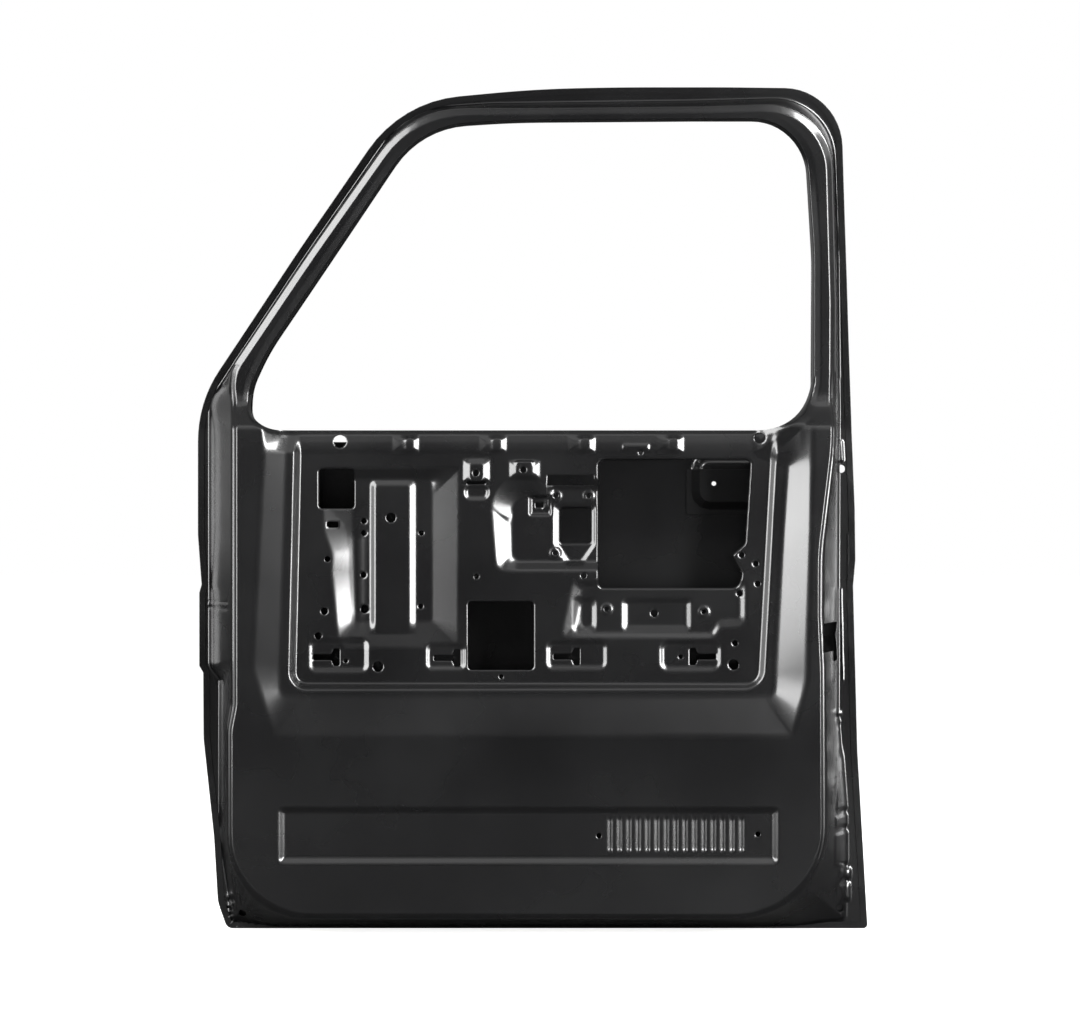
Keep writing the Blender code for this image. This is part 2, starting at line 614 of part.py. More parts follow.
def build_hemmed(sides, surfaces, outside, fold, lip, metal):
    """Join both sides of the outer panel over its hem and round its holes."""
    (out_flat, out_tris), (in_flat, in_tris) = sides
    lift = OUTER_T + 2 * GAP + INNER_T
    loops = [[(x, outer_edge_y(z) - depth, z) for x, z in ring] for ring, depth in
             ((outside, lift + OUTER_T), (lip, lift + OUTER_T), (lip, lift), (fold, lift))]
    out_n, in_n, ring_n = len(out_flat), len(in_flat), len(outside)
    points = np.vstack((*surfaces, *loops))
    faces = [(c, b, a) for a, b, c in out_tris.tolist()]
    faces += [tuple(v + out_n for v in t) for t in in_tris.tolist()]
    out_ring = nearest(out_flat, outside)
    strips = [out_ring] + [list(range(out_n + in_n + k * ring_n, out_n + in_n + (k + 1) * ring_n))
                           for k in range(4)] + [[v + out_n for v in nearest(in_flat, fold)]]
    for one, two in zip(strips, strips[1:]):
        for k in range(ring_n):
            n = (k + 1) % ring_n
            faces.append((one[k], one[n], two[n], two[k]))
    on_ring = set(out_ring)
    rims = [edge for edge in rim_edges(out_tris) if not on_ring.issuperset(edge)]
    ends = sorted({v for edge in rims for v in edge})
    partner = dict(zip(ends, nearest(in_flat, out_flat[ends])))
    faces += [(a, b, partner[b] + out_n, partner[a] + out_n) for a, b in rims]
    add_object("outer_panel", points, faces, metal)


def nearest(flat, places):
    """The index of the point of a flat set that is nearest to each place."""
    return [int(((flat - np.array(place)) ** 2).sum(1).argmin()) for place in places]


def make_hinge_side(name, steel):
    """Reinforcement, tapping plate and cage of one hinge, behind the hinge face."""
    bolt_x, mid_z = HINGES[name]
    face_x = FACE_EDGE[-2][0] if name == "upper" else FACE_EDGE[0][0]
    foot_x = WALL_FOOT[-4][0] if name == "upper" else WALL_FOOT[-2][0]
    low, high = mid_z - PLATE_H / 2 - 20, mid_z + PLATE_H / 2 + 20
    outline = rounded(box(foot_x + 4, low, face_x + 20, high, 4))
    crease = [(face_x, low - 9), (face_x, high + 9)]
    holes = hinge_holes(inner_y, bolt_x, mid_z, 0.5)
    sheet(f"{name}_hinge_reinforcement", [outline, *holes], inner_y, INNER_T + SLOPE_GAP,
          HEAVY_T, steel, ((), [crease]))
    frame = wall_frame(bolt_x, mid_z, INNER_T + SLOPE_GAP + HEAVY_T + GAP)
    plate = box(-PLATE_W / 2, -PLATE_H / 2, PLATE_W / 2, PLATE_H / 2, 2)
    bolts = [circle(0, side * BOLT_SPACING / 2, BOLT_R - 1) for side in (-1, 1)]
    placed_sheet(f"{name}_hinge_tapping_plate", [rounded(plate), *bolts], frame,
                 flat_height, PLATE_T, steel)
    make_cage(name, plate, frame, steel)


def flat_height(x, z):
    """A flat surface."""
    return 0 * x


def make_cage(name, plate, frame, steel):
    """The thin cage over a tapping plate, flanged onto the reinforcement."""
    foot = shifted(plate, -CAGE_PLAY - CAGE_T - 3.0)
    top = shifted(plate, -CAGE_PLAY - CAGE_T)
    outline = [(x, z + math.copysign(7.0, z), r) for x, z, r in shifted(foot, -0.5)]
    loops = (rounded(foot), rounded(top))
    window = rounded(box(-9, -PLATE_H / 2 + 5, 9, PLATE_H / 2 - 5, 4))
    placed_sheet(f"{name}_hinge_cage", [rounded(outline), window], frame,
                 lambda u, v: ramp(u, v, *loops) * (PLATE_T + GAP), CAGE_T, steel, loops)


def wall_frame(x, z, start):
    """Place and axes on the back of the hinge face: across it, up it and off it."""
    slope = slope_x(inner_y, x, z)
    across = Vector((1.0, slope, 0.0)).normalized()
    off = Vector((-slope, 1.0, 0.0)).normalized()
    if off.y < 0:
        off = -off
    origin = Vector((x, float(inner_y(np.array([x]), np.array([z]))[0]), z)) + off * start
    return origin, across, Vector((0, 0, 1)), off


def placed_sheet(name, loops, frame, height, thickness, material, closed=()):
    """A sheet drawn in a frame of its own and then put in its place."""
    obj = sheet(name, loops, height, 0.0, thickness, material, (closed, ()))
    origin, across, up, off = frame
    rows = [(across[i], off[i], up[i], origin[i] * MM) for i in range(3)] + [(0, 0, 0, 1)]
    obj.data.transform(Matrix(rows))
    return obj


def make_belt_reinforcements(steel):
    """A bent strip behind the inner belt strip and a shallow hat behind the outer one."""
    left, right, low, high = -262.0 * SPREAD, 318.0 * SPREAD, BELT_Z - 39, BELT_Z - WINDOW_RETURN_W - 2
    loops = [rounded(box(left, low, right, high, 4))]
    line = [(left - 9, BELT_Z - BELT_STRIP), (right + 9, BELT_Z - BELT_STRIP)]
    sheet("belt_reinforcement_inner", loops, belt_y, INNER_T + GAP, HEAVY_T, steel, ((), [line]))
    x0, z0, x1, z1 = BELT_HAT
    hat = tuple(divided(loop, 44.0) for loop in form(box(x0 + 4, z0 + 3.5, x1 - 4, z1 - 3.5, 2), 3.0))
    sheet("belt_reinforcement_outer", [PATCHES["belt"][0]],
          lambda x, z: outer_y(x, z) - ramp(x, z, *hat) * BELT_HAT_DEPTH,
          -OUTER_T - SLOPE_GAP, -HEAVY_T, steel, (hat, ()))


def belt_y(x, z):
    """The inner panel's belt strip and the field just under it, without the clip pads."""
    level = FACE_Y + ARMREST_STEP + FIELD_STEP
    strip = np.clip((z - BELT_Z + BELT_STRIP) / BELT_STRIP, 0.0, 1.0)
    return level + strip * (FACE_Y + BELT_SET - level)


def make_latch_reinforcement(steel):
    """Bent plate behind the latch face, open round the latch hole."""
    low, high = 395.0, 505.0
    hole = shifted(LATCH_HOLE, -1.5)
    edge = sorted((p for p in SIDE_WALLS[1] if low - 60 < p[1] < high + 60 and p[0] > 0),
                  key=lambda p: p[1])
    sheet("latch_reinforcement", [rounded(spread(box(412, low, 458, high, 4))), rounded(hole)], inner_y,
          INNER_T + SLOPE_GAP, HEAVY_T, steel, ((), [edge]))


def make_outer_backings(steel):
    """The handle cup's reinforcement and the mirror plate, inside the outer panel."""
    creases = [*CUP, *CROWN_LOOPS]
    bolts = {"handle": [circle(HANDLE_CUP[0] + 32, 678, 5.5), circle(HANDLE_CUP[2] - 32, 678, 5.5)],
             "mirror": [circle(x, z, 4.5, 8) for x, z in MIRROR_BOLTS]}
    for name, holes in bolts.items():
        outline, stations = PATCHES[name]
        sheet(f"{name}_reinforcement", [outline, *holes], outer_y, -OUTER_T - SLOPE_GAP, -HEAVY_T,
              steel, (creases, ()), stations)


def make_regulator_reinforcement(steel):
    """Flat plate behind the upright rib, where the window regulator bolts on."""
    rib_level = FACE_Y + ARMREST_STEP + FIELD_STEP + RIB_PAN_DEPTH
    places = spread([(-212.5, 626, 9), (-254, 540, 5.5), (-253, 603, 5.5), (-253, 621, 5.5),
                     (-167, 603, 5)])
    holes = [circle(*place) for place in places]
    plate = rounded(spread(box(-266, 500, -155, 672, 6)))
    sheet("regulator_reinforcement", [plate, *holes],
          lambda x, z: 0 * x + rib_level, INNER_T + GAP, HEAVY_T, steel)


def make_lock_pillar(steel):
    """Plate inside the rear pillar of the window frame, behind its inboard face."""
    outline = spread(box(428.5, BELT_Z + 70, 438, 1060, 3))
    sheet("lock_pillar_reinforcement", [rounded(outline)], lambda x, z: face_y(z) + 0 * x,
          INNER_T + SLOPE_GAP, HEAVY_T, steel, ((), LEVEL_LINES))


def make_weld_nuts(steel):
    """Flanged nuts welded behind the bosses of the access field."""
    for number, (x, z) in enumerate(NUT_PLACES, 1):
        seat = float(inner_y(np.array([x - 6.5]), np.array([z * 1.0]))[0]) + INNER_T + GAP
        frame = (Vector((x, seat, z)), Vector((1, 0, 0)), Vector((0, 0, 1)), Vector((0, 1, 0)))
        placed_sheet(f"weld_nut_{number}", [circle(0, 0, 7.5, 6), circle(0, 0, 3.2, 8)], frame,
                     flat_height, 5.5, steel)


def metal_material(name, colour, roughness):
    """A painted or coated steel."""
    material = bpy.data.materials.new(name)
    material.use_nodes = True
    shader = material.node_tree.nodes["Principled BSDF"]
    shader.inputs["Base Color"].default_value = (*colour, 1.0)
    shader.inputs["Roughness"].default_value = roughness
    shader.inputs["Metallic"].default_value = 0.1
    return material


def main():
    """Clear the scene and build every piece of the door."""
    for obj in list(bpy.data.objects):
        bpy.data.objects.remove(obj, do_unlink=True)
    primer = metal_material("black_primer", (0.016, 0.016, 0.017), 0.3)
    steel = metal_material("primed_steel", (0.022, 0.022, 0.023), 0.42)
    make_inner_panel(primer)
    make_outer_panel(primer)
    make_belt_reinforcements(steel)
    make_hinge_side("upper", steel)
    make_hinge_side("lower", steel)
    make_latch_reinforcement(steel)
    make_outer_backings(steel)
    make_regulator_reinforcement(steel)
    make_lock_pillar(steel)
    make_weld_nuts(steel)


main()
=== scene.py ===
"""Looks of a pickup truck's door shell: black primed sheet metal seen from the cab side.

X runs from the hinge edge to the latch edge, Y from the cab outwards, Z up. Places and
sizes are in millimetres until a mesh is made. The stamped sheets are heights over the
door's plane, worked out on a grid, and the cells outside their outlines are left out."""

import math

import bpy
import numpy as np
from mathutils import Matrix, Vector


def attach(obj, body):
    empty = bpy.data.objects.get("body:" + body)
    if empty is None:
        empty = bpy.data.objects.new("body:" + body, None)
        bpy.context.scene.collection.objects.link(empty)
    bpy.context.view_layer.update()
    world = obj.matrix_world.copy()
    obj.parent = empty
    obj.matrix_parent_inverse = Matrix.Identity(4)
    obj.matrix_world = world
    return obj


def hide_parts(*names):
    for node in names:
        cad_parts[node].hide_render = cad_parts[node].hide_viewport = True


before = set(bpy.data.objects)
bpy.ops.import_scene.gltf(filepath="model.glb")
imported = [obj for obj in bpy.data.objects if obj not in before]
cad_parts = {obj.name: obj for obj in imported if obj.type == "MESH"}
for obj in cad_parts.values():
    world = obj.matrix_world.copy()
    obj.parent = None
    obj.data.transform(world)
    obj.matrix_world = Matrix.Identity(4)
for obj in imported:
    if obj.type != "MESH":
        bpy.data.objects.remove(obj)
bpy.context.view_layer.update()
MM = 0.001
COARSE = 1.0

# The door and its sheets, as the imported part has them
DOOR_HEIGHT = 1270.0
HALF_WIDTH = 510.6
EDGE_Y = 62.0
FACE_Y = -58.0
BELT_Z = 757.0
OUTER_BELT_DROP = 13.0
INNER_T, OUTER_T, GAP, PLATE_GAP = 1.0, 0.9, 0.35, 0.25
HEM_WIDTH, HEM_BACK = 9.0, 1.5

# Window frame: lean towards the cab, and its section
LEAN_Z = 762.0
EDGE_LEAN, EDGE_LEAN_CURVE = 0.10, 0.00018
FACE_LEAN, FRAME_SET, FRAME_SET_HEIGHT = 0.1035, 34.0, 53.0
SILL_LIP_W, SILL_LIP = 6.0, 3.0
FRAME_SLOPE_W, FRAME_SLOPE, FRAME_LIP_W, FRAME_LIP = 13.0, 4.2, 2.4, 17.0

# Outer panel
OUTER_RETURN, OUTER_RETURN_W, OUTER_WINDOW_SET, SKIN_SET = 10.0, 5.0, 3.5, 0.6
CROWN, CROWN_WALL, CROWN_TOP = 13.0, 60.0, 1.15
BODY_LINE_Z, BODY_LINE_STEP, BODY_LINE_W, BODY_LINE_FADE = 596.0, 2.6, 60.0, (60.0, 260.0)
HANDLE_CUP, CUP_DEPTH, CUP_WALL, CUP_RADIUS = (244.0, 640.0, 384.0, 724.0), 16.0, 12.0, 26

# Access field
ARMREST_STEP, FIELD_STEP, BEAD_W = 16.0, 7.0, 8.5
HINGE_SIDE_RISE, LATCH_SIDE_RISE = 5.0, 4.5
FIELD_LEFT, FIELD_RIGHT, FIELD_BOTTOM = -355.0, 360.0, 378.0
BELT_STRIP, BELT_SET = 34.0, 30.0


# Outlines. Between its points an arc turns by one step or runs one length, and it takes up
# at most the given share of a side
ARC_STEP, ARC_LENGTH, ARC_SHARE = math.radians(7.0), 6.0, 0.49


def rounded(corners):
    """Closed outline through (x, z, radius) corners: a straight run between corners, and an
    arc of each corner's radius that touches both of its sides."""
    points = []
    count = len(corners)
    for i, (x, z, radius) in enumerate(corners):
        here = np.array((x, z), float)
        back = np.array(corners[i - 1][:2]) - here
        ahead = np.array(corners[(i + 1) % count][:2]) - here
        reach_back, reach_ahead = np.hypot(*back), np.hypot(*ahead)
        back, ahead = back / reach_back, ahead / reach_ahead
        turn = math.pi - math.acos(np.clip(back @ ahead, -1.0, 1.0))
        if radius <= 0.0 or turn < 0.01:
            points.append(here)
            continue
        reach = min(radius * math.tan(turn / 2), ARC_SHARE * reach_back, ARC_SHARE * reach_ahead)
        radius = reach / math.tan(turn / 2)
        middle = (back + ahead) / np.hypot(*(back + ahead))
        centre = here + middle * math.hypot(radius, reach)
        first = here + back * reach - centre
        last = here + ahead * reach - centre
        sweep = math.atan2(first[0] * last[1] - first[1] * last[0], first @ last)
        sides = max(2, round(abs(sweep) / ARC_STEP),
                    min(8, round(abs(sweep) * radius / ARC_LENGTH)))
        for k in np.linspace(0.0, sweep, sides + 1):
            spin = np.array(((math.cos(k), -math.sin(k)), (math.sin(k), math.cos(k))))
            points.append(centre + spin @ first)
    return np.array(points)


def shifted(corners, inward):
    """Corners of the same counter-clockwise outline, with every side moved inwards."""
    moved = []
    count = len(corners)
    for i, (x, z, radius) in enumerate(corners):
        here = np.array((x, z), float)
        before = here - np.array(corners[i - 1][:2])
        after = np.array(corners[(i + 1) % count][:2]) - here
        before, after = before / np.hypot(*before), after / np.hypot(*after)
        left_before = np.array((-before[1], before[0]))
        left_after = np.array((-after[1], after[0]))
        point = here + (left_before + left_after) * inward / (1.0 + left_before @ left_after)
        convex = before[0] * after[1] - before[1] * after[0] > 0
        grown = radius - inward if convex else radius + inward
        moved.append((point[0], point[1], max(0.0, grown) if radius else 0.0))
    return moved


def box(x0, z0, x1, z1, radius):
    """Corners of an upright rectangle."""
    return [(x0, z0, radius), (x1, z0, radius), (x1, z1, radius), (x0, z1, radius)]


def disc(x, z, radius, sides=28):
    """Points of a circle."""
    angles = np.linspace(0.0, 2 * math.pi, sides, endpoint=False)
    return np.column_stack((x + radius * np.cos(angles), z + radius * np.sin(angles)))


def keyhole(x, z, facing=1):
    """A narrow slot with a wide head for a trim hook; facing is the head's side."""
    half, head, length = 4.5, 13.0, 27.0
    corners = [(0, -half, 1), (length, -half, 1), (length + 4, -head, 2), (length + 13, -head, 2),
               (length + 13, head, 2), (length + 4, head, 2), (length, half, 1), (0, half, 1)]
    if facing < 0:
        corners = [(-cx, cz, r) for cx, cz, r in reversed(corners)]
    return rounded([(x + cx, z + cz, r) for cx, cz, r in corners])


def divided(loop, step):
    """The same closed outline with no side longer than the step."""
    parts = []
    for start, end in zip(loop, np.roll(loop, -1, axis=0)):
        count = max(1, math.ceil(np.hypot(*(end - start)) / step))
        parts.append(start + (end - start) * np.arange(count)[:, None] / count)
    return np.concatenate(parts)


def signed_distance(x, z, loop):
    """Distance from each point to a closed outline, positive inside it."""
    nearest = np.full(x.shape, 1e12)
    inside = np.zeros(x.shape, bool)
    ends = np.roll(loop, -1, axis=0)
    for (ax, az), (bx, bz) in zip(loop, ends):
        dx, dz = bx - ax, bz - az
        px, pz = x - ax, z - az
        share = np.clip((px * dx + pz * dz) / max(dx * dx + dz * dz, 1e-12), 0.0, 1.0)
        nearest = np.minimum(nearest, (px - share * dx) ** 2 + (pz - share * dz) ** 2)
        if az != bz:
            inside ^= ((az > z) != (bz > z)) & (px < (z - az) * dx / dz)
    return np.where(inside, 1.0, -1.0) * np.sqrt(nearest)


def near(x, z, loop, margin):
    """Which points lie in a loop's box, grown by a margin."""
    low, high = loop.min(0) - margin, loop.max(0) + margin
    return (x > low[0]) & (x < high[0]) & (z > low[1]) & (z < high[1])


def ramp(value, start, end):
    """Share of the way from start to end, held between 0 and 1."""
    return np.clip((value - start) / (end - start), 0.0, 1.0)


def eased(u, soft):
    """u held between 0 and 1: straight in the middle, with a parabola that is soft wide on
    each side of both ends."""
    def lift(v):
        return np.where(v < -soft, 0.0, np.where(v < soft, (v + soft) ** 2 / (4 * soft), v))
    return 1.0 - lift(1.0 - lift(u))


def pressed(x, z, loops, soft):
    """Share of a pressed form's depth: 0 outside its foot loop and 1 inside its top loop.
    Between them it is the distance to the foot over the sum of both distances, eased over
    soft millimetres at each end."""
    foot, top = loops
    share = np.zeros(x.shape)
    close = near(x, z, foot, soft + 2.0)
    to_foot = signed_distance(x[close], z[close], foot)
    to_top = signed_distance(x[close], z[close], top)
    width = np.maximum(to_foot - to_top, 0.6)
    share[close] = eased(to_foot / width, np.clip(soft / width, 0.02, 0.5))
    return share


def form(corners, wall):
    """The foot and top loops of a pressed form whose wall is equally wide all round."""
    return rounded(corners), rounded(shifted(corners, wall))


def pad(x0, z0, x1, z1, left, bottom, right, top, radius=4.0):
    """The foot and top loops of a rectangular form with a wall width for each side."""
    return (rounded(box(x0, z0, x1, z1, radius)),
            rounded(box(x0 + left, z0 + bottom, x1 - right, z1 - top, radius)))


OUTLINE = [
    (-466, 0, 12), (HALF_WIDTH, 0, 6), (495, 270, 260), (488.5, 522, 10), (492, 562, 10),
    (491, 640, 200), (485, 790, 300), (476, 990, 500), (461.5, DOOR_HEIGHT - 2, 97),
    (290, DOOR_HEIGHT, 3000), (120, DOOR_HEIGHT, 5000), (0, DOOR_HEIGHT - 3, 2000),
    (-197, DOOR_HEIGHT - 21, 190), (-353.5, 1031, 3000), (-HALF_WIDTH, 801, 190),
    (-HALF_WIDTH, 600, 120), (-505, 524, 6), (-508.5, 512, 6),
    (-508.5, 400, 4), (-502.5, 390, 4), (-502, 290, 120), (-486, 140, 150), (-480, 40, 60)]
WALL_FOOT = [
    (-461, 12, 8), (-400, 3.5, 60), (400, 3.5, 60), (478, 12, 8), (476, 190, 80),
    (465, 330, 100), (466, 800, 200), (461, 1031, 500), (448, DOOR_HEIGHT - 14, 90),
    (240, DOOR_HEIGHT - 19, 500), (-60, DOOR_HEIGHT - 23, 500), (-187, DOOR_HEIGHT - 32, 205),
    (-341.5, 1022.5, 3000), (-492, 803, 60), (-492, 400, 20), (-476, 380, 20), (-476, 145, 60),
    (-464, 60, 60)]
FACE_EDGE = [
    (-449, 34, 118), (431, 34, 130), (429.5, 400, 200), (426, 480, 200), (426.5, 575, 400),
    (446, 735, 400), (445, 950, 500), (435, DOOR_HEIGHT - 37, 98), (250, DOOR_HEIGHT - 43, 600),
    (-20, DOOR_HEIGHT - 45.5, 500), (-176, DOOR_HEIGHT - 45.5, 195), (-328, 1013, 3000),
    (-448, 838, 60), (-442, 760, 200), (-442, 345, 60), (-449, 310, 60)]
WINDOW = [
    (-395, BELT_Z, 50), (420, BELT_Z, 80), (418, 1020, 500), (403, DOOR_HEIGHT - 53, 82),
    (240, DOOR_HEIGHT - 53, 700), (-30, DOOR_HEIGHT - 55, 1500), (-166, DOOR_HEIGHT - 64, 185),
    (-397, 874, 600), (-421.5, 822, 90), (-424.5, 780, 35)]
ARMREST_FOOT = [
    (-386, 301, 10), (388, 301, 10), (410, 384, 60), (417, 700, 40), (419, BELT_Z + 20, 0),
    (-402, BELT_Z + 20, 0), (-402, 716, 40), (-418, 402, 40)]
ARMREST_TOP = [
    (-376, 359, 12), (361, 359, 12), (361, 401, 60), (380, 704, 6), (334, 722, 10),
    (328, BELT_Z + 20, 0), (-363, BELT_Z + 20, 0), (-366, 716, 40), (-376, 401, 40)]
FIELD = [
    (FIELD_LEFT - 9, FIELD_BOTTOM - 9, 26), (FIELD_RIGHT - 14, FIELD_BOTTOM - 9, 30),
    (FIELD_RIGHT + 8, BELT_Z + 20, 0), (FIELD_LEFT, BELT_Z + 20, 0)]

LEDGE_STEP, LEDGE_WALL, LEDGE_W = 4.0, 2.6, 7.0
CHAMFER_W, CHAMFER = 1.9, 0.85
SHOULDER_W, SHOULDER_FRONT, SHOULDER_REAR, SHOULDER_HEADER = 9.0, 4.4, 7.2, 2.3

# Stretches over which one form gives way to the next
FRAME_STARTS, SILL_ENDS = (800.0, 845.0), (BELT_Z + 10.0, BELT_Z + 50.0)
HEADER_LEFT, HEADER_RIGHT, HEADER_LOW = (-200.0, -90.0), (400.0, 340.0), (1150.0, 1180.0)
TO_REAR, REAR_SHOULDER_TOP = (0.0, 300.0), (1215.0, 1165.0)
PILLAR_SLOPE_TOP, PILLAR_SLOPE_FADE = (1110.0, 1190.0), 0.8
LATCH_SIDE, LATCH_SIDE_BELOW = (0.0, FIELD_RIGHT), (BELT_Z, BELT_Z - 150.0)
STRIP_REAR, STRIP_REAR_FADE = (340.0, 400.0), 0.75

SIDE_WALLS = (rounded(WALL_FOOT), rounded(shifted(FACE_EDGE, -LEDGE_W)))
LEDGE = (rounded(shifted(FACE_EDGE, -LEDGE_WALL)), rounded(FACE_EDGE))
LEDGE_CHAMFER = (SIDE_WALLS[1], rounded(shifted(FACE_EDGE, CHAMFER_W - LEDGE_W)))
FRAME_WALLS = (SIDE_WALLS[0], rounded(shifted(FACE_EDGE, -SHOULDER_W - 1.5)))
SHOULDER = (rounded(shifted(FACE_EDGE, -SHOULDER_W)), rounded(FACE_EDGE))
ARMREST = (rounded(ARMREST_FOOT), rounded(ARMREST_TOP))
FIELD_LOOPS = form(FIELD, BEAD_W)
WINDOW_LOOP = rounded(WINDOW)
INNER_LOOP = rounded(shifted(OUTLINE, HEM_BACK))

# Forms pressed into the panel: foot loop and top loop, and in the lists below them also the
# depth outboard and the softness of the bends
RIB_PAN = (
    rounded([(-318, 700, 12), (-313, 606, 20), (-301, 572, 20), (-302, 545, 20), (-292, 445, 6),
             (-280, 431, 6), (-111, 431, 4), (-110, 700, 6)]),
    rounded([(-270, 684, 6), (-268, 590, 20), (-264, 470, 4), (-152, 471, 4), (-152, 684, 6)]))
RIB = (rounded([(-244, 452, 0), (-174, 452, 0), (-174, 684, 10), (-244, 684, 10)]),
       rounded([(-235.5, 452, 0), (-185.5, 452, 0), (-185.5, 674, 4), (-235.5, 674, 4)]))
TWIST = (
    rounded([(-318, 650, 4), (-313, 606, 20), (-301, 572, 20), (-302, 545, 20), (-292, 446, 4),
             (-248, 446, 4), (-248, 650, 4)]),
    rounded([(-268, 596, 4), (-264, 484, 4), (-261, 484, 4), (-261, 596, 4)]))
HANDLE_PAN = (
    rounded([(-63, 643, 3), (-54, 546, 14), (112, 546, 0), (112, 683, 0), (24, 683, 3),
             (10, 643, 3)]),
    rounded([(-31, 638, 3), (-30, 561, 12), (112, 561, 0), (112, 668, 0), (32, 668, 3),
             (26, 638, 3)]))
HOOD = (disc(-15, 641, 47, 48), disc(-8, 637, 22, 48))
LOWER_PAN = (
    rounded([(42, 446, 10), (272, 446, 10), (284, 462, 8), (320, 464, 10), (320, 533, 10),
             (60, 533, 10)]),
    rounded([(62, 455, 8), (266, 453, 8), (276, 473, 8), (309, 475, 8), (309, 524, 8),
             (76, 522, 8)]))
NUT_PLACES = [(35, 659), (84, 659), (34, 573), (111, 489), (256.5, 485)]
BELT_PADS = [(-211, -169), (-81, -38), (51, 95), (184, 227)]
FIELD_FORMS = [
    (TWIST, 2.8, 6.0), (LOWER_PAN, 5.0, 3.5),
    (form(box(-336, 394, -245, 446, 12), 7.5), 3.5, 2.5),
    (form(box(-160, 398, -99, 438, 10), 6.0), 3.5, 2.5),
    (form(box(20, 398, 112, 443, 12), 7.0), 3.5, 2.5),
    (form(box(190, 396, 283, 443, 14), 7.0), 3.5, 2.5),
    (form(box(133, 455, 239, 507, 10), 10.0), 4.1, 2.0),
    (pad(60, 455, 97, 508, 14, 8, 9, 10, 7), 4.1, 2.0)]
FIELD_FORMS += [(pad(x0, 722, x1, 749, 22, 6, 10, 4), -4.0, 1.6) for x0, x1 in BELT_PADS]
FIELD_FORMS += [
    (pad(-105, 679, -63, 715, 12, 1.5, 12, 9, 3), -4.8, 1.6),
    (pad(-36, 683, 12, 712, 12, 9, 13, 2, 2), -4.8, 1.6)]
FIELD_FORMS += [((disc(x, z, 10.5), disc(x, z, 6.0)), -1.7, 1.5) for x, z in NUT_PLACES]
FIELD_FORMS += [
    (form(box(-103, 652, -64, 676, 11), 6.0), 3.6, 1.8),
    (form(box(-6, 628, 29, 660, 5), 5.0), 4.0, 1.6),
    ((rounded([(50, 554, 5), (76, 554, 5), (96, 586, 10), (96, 649, 8), (30, 649, 8),
               (30, 586, 10)]),
      rounded([(57, 562, 3), (70, 562, 3), (90, 588, 6), (90, 641, 5), (39, 641, 5),
               (39, 588, 6)])), 3.7, 1.2),
    (form(box(133, 726, 176, 738, 4), 4.0), -1.8, 1.5)]
SIDE_FORMS = [
    (form(box(455, 156, 480, 176, 4), 4.5), -5.0, 1.8),
    (form(box(454, 98, 481, 150, 4), 4.5), -5.0, 1.8),
    (form(box(466, 75, 486, 93, 4), 4.0), -5.0, 1.8),
    (form(box(464, 42, 485, 71, 4), 4.0), -4.0, 1.8),
    (form([(456, 182, 3), (480, 182, 3), (471, 305, 3)], 4.5), -5.0, 1.8)]
TRIM_PANEL = (form(box(-379, 110, 366, 195, 7), 9.0), 6.0, 2.5)
RIB_PAN_DEPTH, RIB_DEPTH, HANDLE_DEPTH = 10.5, 5.5, 11.0

# Holes of the inner panel: outline, width and depth of the rolled edge
BIG_HOLES = [
    (rounded(box(-320, 640, -268, 699, 5)), 3.0, 2.0),
    (rounded(box(-97, 398, 2, 501, 6)), 2.0, 1.2),
    (rounded(box(42, 588, 87, 640, 4)), 3.5, 3.0),
    (rounded([(99, 521, 8), (307, 521, 12), (314, 542, 14), (299, 570, 3), (318, 587, 10),
              (326, 713, 8), (99, 713, 10)]), 4.0, 3.0)]
SLOT_HOLES = [rounded(box(22, 674, 92, 690, 2)), rounded(box(-308, 611, -291, 620, 3)),
              rounded(box(-99, 676, -70, 680.5, 2)), rounded(box(4, 641, 16, 649, 1))]
KEYHOLES = [keyhole(-329, 417), keyhole(-148, 416), keyhole(31, 418), keyhole(275, 418, -1)]
ROUND_HOLES = [
    (-253, 621, 4.5), (-253, 603, 4.5), (-254, 540, 4.5), (-307, 564, 4.5), (-252, 489, 6.5),
    (-312, 486, 5.5), (-321, 449, 5.5), (-212.5, 626, 7.5), (-167, 603, 4), (-168, 493, 4),
    (-84, 538, 4), (-47, 388, 3.5), (76.5, 539, 4.5), (313, 570, 4.5), (334, 557, 4.5),
    (337, 527, 4.5), (310, 512, 4.5), (303, 438, 4.5), (301, 406, 8), (-231.5, 403, 8),
    (-280, 411.5, 3.5), (222, 417.5, 3.5), (-85, 693, 5), (-14, 698, 5), (182.5, 482.5, 5.5),
    (162, 723.5, 3.5), (-288.5, 740, 9.8), (340, 745.5, 8.3), (99, 151.5, 4), (336, 154, 4)]
NUT_HOLE_R, HOLE_REACH = 4.0, 12.0
CORNER_HOLES = [(-440, 27, 6), (468, 32, 6)]
WRINKLES, WRINKLE_TWIST, WRINKLE_DEPTH, WRINKLE_RING, WRINKLE_BAND = 17.0, 0.03, 1.5, 26.0, 12.0
STREAKS = [
    ((-492, 499), (-458, 499), 1.6, 1.2), ((-492, 495), (-458, 495), 1.6, -1.2),
    ((-493, 489), (-459, 489), 1.8, 1.0), ((-455, 395), (-477, 378), 3.0, 2.0),
    ((-456, 112), (-451, 33), 1.8, -2.6), ((-449, 108), (-441, 40), 1.8, -2.2),
    ((470, 517), (473, 378), 1.1, -1.0), ((469.5, 741), (471, 714), 3.2, -2.6),
    ((-103, 676), (-66, 676), 1.2, 1.0), ((481, 600), (481, 520), 1.2, -0.8)]
SEALER_DOTS, SEALER_TOP, SEALER_RUN = 11, (468.0, 328.0), (-17.0, -129.0)
SEALER_DOT_W, SEALER_DOT_DEPTH = 2.2, -2.0
